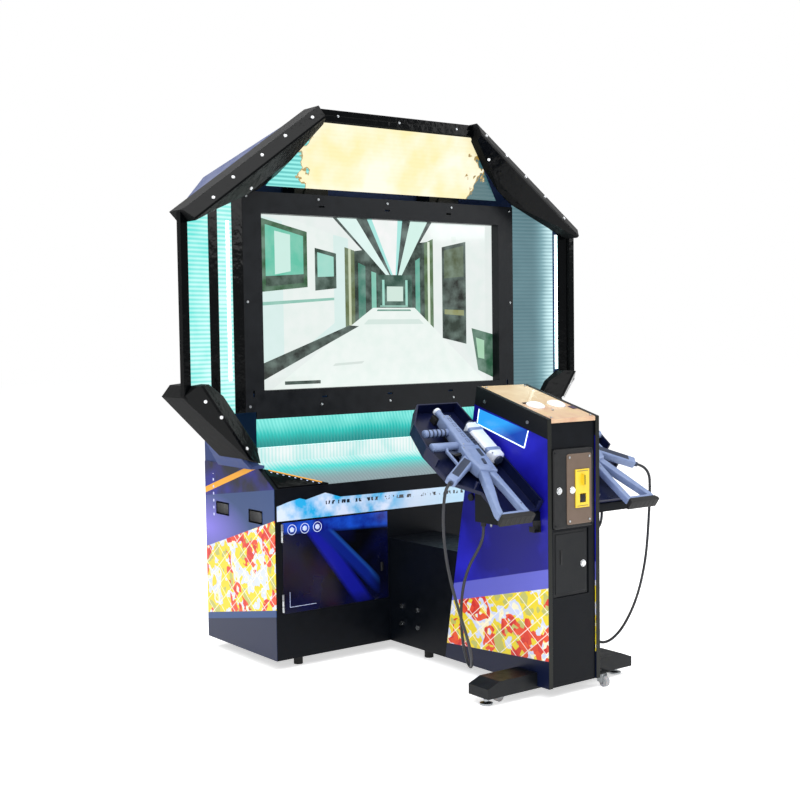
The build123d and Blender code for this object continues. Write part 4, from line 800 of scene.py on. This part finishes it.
corners = [[on_screen(p, i) for p in patch[1:]] for i, patch in enumerate(patches)]
picture_mesh = bpy.data.meshes.new("screen_picture")
picture_mesh.from_pydata([p for four in corners for p in four], [],
                         [tuple(range(4 * i + 3, 4 * i - 1, -1)) for i in range(len(corners))])
shade = picture_mesh.color_attributes.new("patch", "FLOAT_COLOR", "CORNER")
for i, face in enumerate(picture_mesh.polygons):
    for loop in face.loop_indices:
        shade.data[loop].color = colour(patches[i][0])
picture_mesh.update()
picture_finish = new_finish("lit_lcd_picture", "#101010", 0.08, Emission_Strength=0.92, Coat_Weight=0.3)
m = picture_finish
patch_colour = put(m, "ShaderNodeVertexColor", layer_name="patch").outputs[0]
haze = put(m, "ShaderNodeMapRange", {0: speckle(m, 0.05, 4.0).outputs[0], 1: 0.35, 2: 0.7, 3: 0.0, 4: 0.22}).outputs[0]
wire(m, blend_colours(m, haze, patch_colour, "#cfeee2"), "Emission Color")
picture_mesh.materials.append(picture_finish)
picture = bpy.data.objects.new("screen_picture", picture_mesh)
bpy.context.collection.objects.link(picture)
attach(picture, "cabinet")
print("picture patches", len(patches), "faces", len(picture_mesh.polygons))

# %% [markdown]
# ## Guns
# A light gun is a moulded rifle in two half shells. In its tray it lies on its side, so its outline is
# drawn in the tray's slanted plane and extruded across it. Rails, vents, a magazine and a pale scope
# are separate pieces, as on the real shell. The right gun is each piece's mirror image.

# %% Places in a tray
slope = 0.697
up_tray = Vector((0, 1, slope)) / hypot(1, slope)
off_tray = Vector((0, -slope, 1)) / hypot(1, slope)
butt = mm(0, -976, 660)


def tray_place(s, w, n=0.0):
    """Millimetres along the tray, outwards and up from it, for the left tray."""
    return butt + (up_tray * s + off_tray * n) / 1000 + Vector((-w / 1000, 0, 0))


def other_side(piece, name, body):
    """Mirror image of a finished piece across the machine's middle, with a mesh of its own."""
    clear_choice()
    twin = bpy.data.objects.new(name, piece.data.copy())
    bpy.context.collection.objects.link(twin)
    twin.scale = (-1, 1, 1)
    twin.select_set(True)
    bpy.context.view_layer.objects.active = twin
    bpy.ops.object.transform_apply(location=True, rotation=True, scale=True)
    bpy.ops.object.mode_set(mode="EDIT")
    bpy.ops.mesh.select_all(action="SELECT")
    bpy.ops.mesh.normals_make_consistent(inside=False)
    bpy.ops.object.mode_set(mode="OBJECT")
    twin.name = name
    twin.data.name = name
    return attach(twin, body)


gun_pieces = []


def gun_slab(name, outline, low, high, finish, bevel=0.003, segments=3, inset=None):
    """Outline in the tray's plane, extruded from one height above it to another; left gun, then right."""
    corners = [tray_place(s, w, low) for s, w in outline]
    piece = plate(f"gun_left_{name}", corners, off_tray * (high - low) / 1000, finish, "gun_left", bevel, segments,
                  inset)
    gun_pieces.append((piece, other_side(piece, f"gun_right_{name}", "gun_right")))
    return piece


def gun_rod(name, start, end, radius, finish, sides=28, bevel=0.001, end_radius=None):
    """Rod or cone between two places in the tray; left gun, then right."""
    piece = rod(f"gun_left_{name}", tray_place(*start), tray_place(*end), radius / 1000, finish, "gun_left", sides,
                bevel,
                None if end_radius is None else end_radius / 1000)
    gun_pieces.append((piece, other_side(piece, f"gun_right_{name}", "gun_right")))
    return piece


print("trays rise", slope, "m per metre from", butt)

# %% Body, stock and scope
gun_slab("handguard", [(362, 238), (545, 242), (545, 284), (362, 301)], -24, 24, gun_shell, 0.009, 4)
gun_slab("receiver", [(223, 235), (300, 227), (371, 227), (371, 306), (300, 316), (241, 303)], -21.5, 21.5, gun_shell,
         0.005, 3)
gun_slab("receiver_panel", [(250, 246), (350, 240), (350, 290), (300, 300), (262, 292)], 20, 22.6, gun_shell, 0.001, 2,
         (0.004, 0.0009))
gun_slab("grip", [(292, 290), (330, 311), (228, 459), (196, 438)], -15.5, 15.5, gun_shell, 0.007, 4)
gun_slab("grip_panel", [(290, 312), (312, 326), (240, 430), (218, 416)], 15, 16.4, gun_dark, 0.0008, 2, (0.003, 0.0007))
gun_slab("guard_front", [(383, 298), (396, 298), (391, 350), (378, 350)], -5.5, 5.5, gun_shell, 0.002)
gun_slab("guard_low", [(391, 344), (391, 352), (366, 364), (286, 362), (296, 355), (363, 356)], -5.5, 5.5, gun_shell,
         0.0015)
gun_slab("magazine", [(330, 300), (366, 300), (378, 330), (384, 346), (362, 346), (352, 326)], -13, -5, gun_dark, 0.002)
gun_slab("stock_top", [(232, 237), (14, 237), (14, 261), (150, 261), (232, 268)], -13.5, 13.5, gun_shell, 0.005, 3)
gun_slab("stock_back", [(14, 240), (29, 262), (29, 349), (14, 374)], -13.5, 13.5, gun_shell, 0.003)
gun_slab("stock_low", [(14, 374), (34, 375), (243, 301), (236, 268), (151, 300), (61, 341), (28, 350)], -13.5, 13.5,
         gun_shell, 0.004, 3)
gun_slab("butt_pad", [(-7, 233), (-7, 379), (4, 379), (10, 372), (14, 372), (14, 240), (10, 240), (4, 233)], -19, 19,
         rubber, 0.003, 3)
for i in range(6):
    gun_slab(f"butt_rib_{i}", [(-7.6, 246 + 21 * i), (-5, 246 + 21 * i), (-5, 254 + 21 * i), (-7.6, 254 + 21 * i)], -16,
             16, rubber, 0.0008, 1)
gun_slab("scope_body", [(303, 143), (499, 143), (499, 189), (470, 205), (331, 205), (303, 190)], -22, 22, gun_pale,
         0.010, 4)
gun_slab("scope_band", [(330, 141.6), (352, 141.6), (352, 205.6), (330, 205.6)], -23.4, 23.4, gun_shell, 0.006, 3)
gun_slab("scope_band_front", [(446, 141.6), (466, 141.6), (466, 206), (446, 206)], -23.4, 23.4, gun_shell, 0.006, 3)
gun_slab("scope_mount", [(336, 200), (464, 200), (464, 240), (336, 240)], -8.5, 8.5, gun_dark, 0.001)
for i in range(9):
    s = 340 + 14 * i
    gun_slab(f"rail_tooth_{i}", [(s, 206), (s + 7, 206), (s + 7, 236), (s, 236)], -11, 11, gun_dark, 0.0008, 1)
gun_rod("barrel", (540, 258, 0), (597, 258, 0), 12.6, gun_shell, 36, 0.002)
gun_rod("muzzle_ring", (583, 258, 0), (595, 258, 0), 15, gun_pale, 36, 0.0015)
gun_rod("muzzle_bore", (594, 258, 0), (597.6, 258, 0), 8.5, gun_dark, 28, 0.0005)
gun_rod("eyepiece", (296, 168, 0), (305, 168, 0), 17, gun_dark, 32, 0.002)
gun_rod("objective", (497, 166, 0), (506, 166, 0), 18, gun_dark, 32, 0.002, 20)
gun_rod("foregrip_front", (470, 282, 0), (470, 397, 0), 13.5, gun_shell, 28, 0.004, 15)
gun_rod("foregrip_back", (394, 282, 0), (394, 413, 0), 14.5, gun_shell, 28, 0.004, 16)
for i in range(5):
    gun_rod(f"foregrip_ring_{i}", (470, 305 + 18 * i, 0), (470, 311 + 18 * i, 0), 15.4, gun_dark, 24, 0.0008)
    gun_slab(f"vent_{i}", [(382 + 30 * i, 254), (402 + 30 * i, 254), (402 + 30 * i, 266), (382 + 30 * i, 266)], 22.5,
             24.9, gun_dark,
             0.0008, 1, (0.002, 0.001))
gun_slab("selector", [(262, 262), (288, 258), (290, 268), (264, 272)], 22, 27, gun_dark, 0.0012)
gun_slab("ejection_port", [(306, 240), (346, 238), (346, 254), (306, 256)], 22, 23.6, gun_dark, 0.0008, 2,
         (0.002, 0.0009))
gun_rod("grip_gland", (208, 447, 0), (203.2, 455.8, 0), 9, gun_dark, 24, 0.001)
for i, (s, w) in enumerate([(375, 290), (530, 250), (530, 276), (240, 250), (356, 300), (60, 248), (200, 250),
                            (318, 196), (485, 152)]):
    # half the thickness of the scope, the receiver, the handguard or the stock, whichever it is in
    top = 22.4 if w < 205 else 22.0 if 223 < s < 371 else 24.4 if 371 < s < 545 else 13.9
    gun_rod(f"shell_screw_{i}", (s, w, top - 1.2), (s, w, top + 0.6), 3.2, zinc, 14, 0.0005)
pair_of = {left.name: (left, right) for left, right in gun_pieces}
for name, node in (("handguard", "body"), ("stock_top", "stock"), ("scope_body", "scope")):
    left, right = pair_of[f"gun_left_{name}"]
    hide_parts(f"gun_left_{node}")
    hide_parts(f"gun_right_{node}")
print("gun pieces", len(gun_pieces) * 2)

# %% [markdown]
# ## Screws, lock and door furniture
# Small hardware is what makes a cabinet read as made of parts. A screw is a short disc whose top is
# inset and sunk; one is placed wherever a ray from the front meets the trim it holds.

# %% Screws on the trims
screw_white = grain(new_finish("white_capped_steel_screw", "#d9dcdf", 0.3), "#f3f4f5", 0.001, 0.5, 0.00005)
screw_dark = grain(new_finish("blackened_steel_screw", "#15171a", 0.35, Metallic=0.8), "#2c2f33", 0.001, 0.5, 0.00005)
pale_ink = grain(new_finish("pale_blue_print_ink", "#b9c8f0", 0.4), "#dfe6fa", 0.002, 0.5, 0.00003)
# near black: painted shade that fills the card slot and the coin slit, and the dark joints of the hinges and the dark
# fan behind its guard
shade_and_dark_parts = grain(new_finish("painted_slot_shade_and_dark_parts", "#020203", 0.6, Specular_IOR_Level=0.2), "#08090a", 0.002, 0.5, 0.00005)


def screw(name, place, way, radius, finish, body):
    """Cylinder head at a place, facing a way, with a socket sunk in its top."""
    way = Vector(way).normalized()
    clear_choice()
    bpy.ops.mesh.primitive_cylinder_add(vertices=20, radius=radius, depth=radius * 0.8, location=place,
                                        rotation=way.to_track_quat("Z", "Y").to_euler())
    piece = bpy.context.object
    bpy.ops.object.mode_set(mode="EDIT")
    bpy.ops.mesh.select_all(action="DESELECT")
    bpy.ops.object.mode_set(mode="OBJECT")
    for face in piece.data.polygons:
        face.select = face.normal.z > 0.9
    bpy.ops.object.mode_set(mode="EDIT")
    bpy.ops.mesh.inset(thickness=radius * 0.45)
    bpy.ops.mesh.extrude_region_move(TRANSFORM_OT_translate={"value": way * -radius * 0.25})
    bpy.ops.object.mode_set(mode="OBJECT")
    round_edges(piece, radius * 0.12, 1)
    return done(piece, name, finish, body)


def screws_on(node, spots, radius, finish):
    """Screws where rays from the front, at places across and up in millimetres, meet a node."""
    for i, (x, z) in enumerate(spots):
        hit, place, way, _ = nodes[node].ray_cast(Vector((x / 1000, -2, z / 1000)), Vector((0, 1, 0)))
        if hit:
            screw(f"{node}_screw_{i}", place + way * radius * 0.2, way, radius, finish, "cabinet")
        else:
            print("no surface for a screw at", x, z)


screws_on("corner_trims_upper", [(436, 2119), (465, 2024), (663, 1960), (888, 1790), (-440, 2119), (-880, 1790),
                                 (-665, 1960), (-700, 1838),
                                 (-560, 2040), (560, 2045), (-790, 1870), (780, 1880)], 0.0065, screw_white)
screws_on("corner_trims_lower", [(-925, 1046), (-868, 985), (-760, 862), (925, 1046), (868, 985), (760, 862)], 0.0065,
          screw_white)
screws_on("screen_bezel", [(-670, 1820), (0, 1822), (670, 1820), (-340, 1822), (340, 1822), (-670, 1010), (670, 1010),
                           (-340, 1006), (340, 1006),
                           (0, 1006), (-672, 1415), (672, 1415)], 0.005, zinc)
screws_on("hood_front_frame", [(-300, 2140), (0, 2140), (300, 2140)], 0.005, zinc)

# %% [markdown]
# ## Base details
# The base's sides have two moulded hand cups each. A painted orange line with pale ticks runs along
# the edge of the shelf's black corner, and the front door carries three round badges. The line is laid
# on the corner by rays cast down on it, and what is printed is a plate a fraction of a millimetre thick.

# %% Hand cups
side_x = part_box("side_art_panels")[1].x
for s, word in ((-1, "left"), (1, "right")):
    for i, (y, z) in enumerate(((141, 582), (405, 588))):
        low, high = mm(0, y - 52, z - 26), mm(0, y + 52, z + 26)
        cup = [(s * side_x, y, z) for y, z in ((low.y, low.z), (high.y, low.z), (high.y, high.z), (low.y, high.z))]
        plate(f"hand_cup_{word}_{i}", cup, (s * 0.0022, 0, 0), moulded, "cabinet", 0.0012, 2, (0.0065, 0.016))
print("hand cups at x", round(side_x, 4))


# %% Corner line with ticks
def on_corner(x, y):
    """Top of the shelf's black corner, below a place."""
    return nodes["shelf_corners"].ray_cast(mm(x, y, 1000), Vector((0, 0, -1)))[1]


shelf_way = Vector((0, -0.53, 0.848))        # the way the sloping shelf faces
line_start, line_end = on_corner(-624, 100), on_corner(-438, 9)
along_line = (line_end - line_start).normalized()
line_side = along_line.cross(shelf_way).normalized() * 0.004
lift = shelf_way * 0.0008
stripe_orange = grain(new_finish("orange_print_ink", "#e39a2c", 0.35), "#f2b552", 0.002, 0.5, 0.00003)
plate("corner_line", [line_start - line_side, line_end - line_side, line_end + line_side, line_start + line_side], lift,
      stripe_orange,
      "cabinet", 0.0002, 1)
ticks = 9
for i in range(ticks):
    middle = line_start.lerp(line_end, (i + 0.5) / ticks) + line_side * 2.9
    along, side = along_line * 0.0035, line_side * 0.7
    plate(f"corner_tick_{i}", [middle - along - side, middle + along - side, middle + along + side,
                               middle - along + side],
          lift, pale_ink, "cabinet", 0.0001, 1)
print("corner line", round((line_end - line_start).length, 3), "m long, ticks", ticks)

# %% Front door's badges, line and pull
for i in range(3):
    centre = mm(-585 + 58 * i, -0.4, 540)
    ring(f"door_badge_ring_{i}", centre, (0, 1, 0), 0.019, 0.0014, pale_ink, "front_door")
    rod(f"door_badge_{i}", centre, centre + Vector((0, -0.0008, 0)), 0.011, pale_ink, "front_door", 5 + i, 0.0002)
angle_line = [(-600, 300), (-600, 240), (-480, 240), (-480, 242), (-598, 242), (-598, 300)]
plate("door_light_line", [mm(x, -0.2, z) for x, z in angle_line], (0, -0.0005, 0), pale_ink, "front_door", 0.0001, 1)
block("front_door_pull", mm(-172, -9, 330), mm(-160, 0, 366), moulded, "front_door", 0.003, 3)

# %% [markdown]
# ## The back
# Nothing of the back shows from the front, so it has what such cabinets usually have: screws round the
# hood, pin hinges with dark joints between their knuckles, louvres, and a wire guard over the fan.

# %% Screws round the hood's back
back_spots = [(x, z) for x in (-600, -300, 0, 300, 600) for z in (800, 1500)]
back_spots += [(-330, 1960), (0, 1960), (330, 1960), (-600, 1150), (600, 1150)]
for i, (x, z) in enumerate(back_spots):
    hit, place, way, _ = nodes["hood_shell"].ray_cast(Vector((x / 1000, 2, z / 1000)), Vector((0, -1, 0)))
    if hit:
        screw(f"hood_back_screw_{i}", place + way * 0.001, way, 0.006, screw_dark, "cabinet")
print("screws round the back", len(back_spots))

# %% Rear door, hinges, fan grille and vents
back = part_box("base_cabinet")[1].y
hinges = (("back_door", -0.402, (0.22, 0.42, 0.62), back + 0.004), ("front_door", -0.631, (0.26, 0.53), front - 0.003))
for body, x, heights, y in hinges:
    for i, z in enumerate(heights):
        rod(f"{body}_hinge_{i}", (x, y, z - 0.035), (x, y, z + 0.035), 0.0055, zinc, body, 20, 0.001)
        for k, joint in enumerate((z - 0.012, z + 0.012)):
            rod(f"{body}_hinge_{i}_ring_{k}", (x, y, joint - 0.0008), (x, y, joint + 0.0008), 0.0062, shade_and_dark_parts, body,
                20)
for i in range(5):
    z = 0.573 + i * 0.016
    block(f"back_louvre_{i}", (-0.148, back - 0.004, z - 0.001), (0.148, back + 0.003, z + 0.0035), powder, "back_door",
          0.001)
fan = Vector((-0.20, back, 0.30))
outwards = Vector((0, 1, 0))
ring("fan_guard_rim", fan + outwards * 0.002, outwards, 0.056, 0.003, zinc, "back_door")
for i in range(5):
    ring(f"fan_guard_ring_{i}", fan + outwards * 0.003, outwards, 0.008 + 0.010 * i, 0.0011, zinc, "back_door")
for i in range(4):
    turn = pi / 4 + i * pi / 2
    spoke = Vector((cos(turn), 0, sin(turn)))
    rod(f"fan_guard_spoke_{i}", fan + outwards * 0.003 + spoke * 0.006, fan + outwards * 0.002 + spoke * 0.058, 0.0012,
        zinc,
        "back_door", 10)
rod("fan_dark_disc", fan - outwards * 0.0005, fan + outwards * 0.0008, 0.054, shade_and_dark_parts, "back_door", 40)
for i, (x, z) in enumerate(((-0.385, 0.175), (0.385, 0.175), (-0.385, 0.675), (0.385, 0.675))):
    screw(f"back_door_screw_{i}", (x, back + 0.001, z), (0, 1, 0), 0.006, zinc, "back_door")
for i, (x, z) in enumerate(((-0.63, 0.08), (0.63, 0.08), (-0.63, 0.74), (0.63, 0.74), (0, 0.74), (0, 0.08))):
    screw(f"base_back_screw_{i}", (x, back + 0.001, z), (0, 1, 0), 0.006, zinc, "cabinet")

# %% [markdown]
# ## Console details
# The tan top carries two milky start buttons in white collars, a card slot and a small window. Each
# side window is framed by a white light line on three sides. The coin plate has a slot, a key lock
# and a return cup, and the cash door sits in a folded frame.

# %% Console top
top_way = Vector((0, -console_slope, 1)).normalized()


def on_top(x, y, lift=0.0):
    """A place on the sloping top, in millimetres across and back, lifted off it by metres."""
    return mm(x, y, 984 + (y + 936) * console_slope) + top_way * lift


def on_top_corners(x0, x1, y0, y1):
    """Corners of a rectangle a hair above the top."""
    return [on_top(x, y, 0.0002) for x, y in ((x0, y0), (x1, y0), (x1, y1), (x0, y1))]


for s, word in ((-1, "left"), (1, "right")):
    ring(f"button_collar_{word}", on_top(50 * s, -795.3, 0.001), top_way, 0.030, 0.0042, milk_button, "cabinet")
    ring(f"button_line_{word}", on_top(50 * s, -795.3, 0.0088), top_way, 0.016, 0.0007, pale_ink, f"button_{word}")
# the card slot is a dark plate: painted shade where the slot opens
plate("card_slot", on_top_corners(-84, -40, -770, -760), top_way * 0.001, shade_and_dark_parts, "cabinet", 0.0003, 1)
violet_pane = grain(new_finish("violet_tinted_acrylic", "#2a1238", 0.12), "#51215e", 0.006, 0.6, 0.00005)
plate("top_pane", on_top_corners(80, 104, -850, -822), top_way * 0.001, violet_pane, "cabinet", 0.0003, 1)
for i, (x, y) in enumerate(((-19, -850), (-95, -922), (95, -922), (-95, -580), (95, -580))):
    screw(f"top_plate_screw_{i}", on_top(x, y, 0.0006), top_way, 0.0045, zinc, "cabinet")
print("console top faces", [round(v, 3) for v in top_way])

# %% Light lines round the console's windows
light_line = new_finish("white_light_line", "#e9fbff", 0.3, Emission_Strength=1.0)
wire(light_line, blend_colours(light_line, speckle(light_line, 0.03).outputs[0], "#a6ecff", "#ffffff"),
     "Emission Color")
window = [(-576, 1005), (-564, 950), (-819, 878), (-840, 939)]
for s, word in ((-1, "left"), (1, "right")):
    rim = [mm(s * 127.4, y, z) for y, z in window]
    for i in range(3):
        rod(f"window_line_{word}_{i}", rim[i], rim[i + 1], 0.0021, light_line, "cabinet", 12)
print("window lines", 3, "on each side")

# %% Coin gear and cash door
for i, (x, z) in enumerate(((-30, 622), (66, 622), (-30, 846), (66, 846))):
    screw(f"coin_plate_screw_{i}", mm(x, -945.4, z), (0, -1, 0), 0.0042, zinc, "coin_door")
for i, (x, z) in enumerate(((-95, 610), (80, 606), (-95, 864), (81, 868))):
    screw(f"coin_frame_screw_{i}", mm(x, -942.4, z), (0, -1, 0), 0.004, screw_dark, "coin_door")
# the coin slit is a dark block: painted shade inside the slit
block("coin_slit", mm(28.6, -960.6, 748), mm(31.4, -959.5, 782), shade_and_dark_parts, "coin_door", 0.0002, 1)
block("coin_entry_line_low", mm(2, -949.5, 672), mm(56, -948.8, 674), coin_brown, "coin_door", 0.0002, 1)
block("coin_entry_line_high", mm(2, -949.5, 795), mm(56, -948.8, 797), coin_brown, "coin_door", 0.0002, 1)
block("return_flap", mm(17.5, -948, 686), mm(44.5, -946.5, 712), moulded, "coin_door", 0.001, 2)
ring("reject_collar", mm(-17, -945.6, 731), (0, 1, 0), 0.0112, 0.002, chrome, "coin_door")
ring("coin_lock_collar", mm(-77, -942.6, 732), (0, 1, 0), 0.0112, 0.0018, chrome, "coin_door")
ring("cash_lock_collar", mm(52, -926.6, 463), (0, 1, 0), 0.0112, 0.0018, chrome, "cash_box_door")
block("cash_door_pull", mm(-60, -929, 470), mm(-52, -925.5, 520), moulded, "cash_box_door", 0.002, 3)
plate("cash_door_panel", [mm(-84, -926, 366), mm(64, -926, 366), mm(64, -926, 578), mm(-84, -926, 578)],
      (0, -0.0016, 0), powder,
      "cash_box_door", 0.0008, 2, (0.006, 0.0009))

# %% [markdown]
# ## Trays and casters
# Foam pads line each tray where the gun's stock, barrel and scope rest. A zinc ring on each side of a
# caster's wheel marks its axle, and turns with it.

# %% Tray pads and hub rings
pad_low = -40
# each pad: its name, its ends along the tray, its ends outwards, and its top
pads = (("stock", 204, 214, 232, 296, -15), ("barrel", 560, 590, 240, 276, -14),
        ("scope", 310, 330, 150, 196, -24), ("scope_front", 470, 490, 150, 196, -24))
for s, word in ((1, "left"), (-1, "right")):
    flip = Vector((s, 1, 1))
    for name, s0, s1, w0, w1, pad_high in pads:
        corners = [tray_place(a, b, pad_low) * flip for a, b in ((s0, w0), (s1, w0), (s1, w1), (s0, w1))]
        plate(f"tray_pad_{name}_{word}", corners, off_tray * (pad_high - pad_low) / 1000, liner_foam, "cabinet", 0.002,
              2)
for word, body in (("left", "caster_left_roller"), ("right", "caster_right_roller")):
    low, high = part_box(f"caster_wheel_{word}")
    middle = (low + high) / 2
    axle = Vector((0, 1, 0)) if high.y - low.y < high.x - low.x else Vector((1, 0, 0))
    half = min(high.y - low.y, high.x - low.x) / 2
    for k, sign in enumerate((-1, 1)):
        ring(f"caster_hub_ring_{word}_{k}", middle + axle * sign * (half - 0.0004), axle, 0.0085, 0.0009, zinc, body)
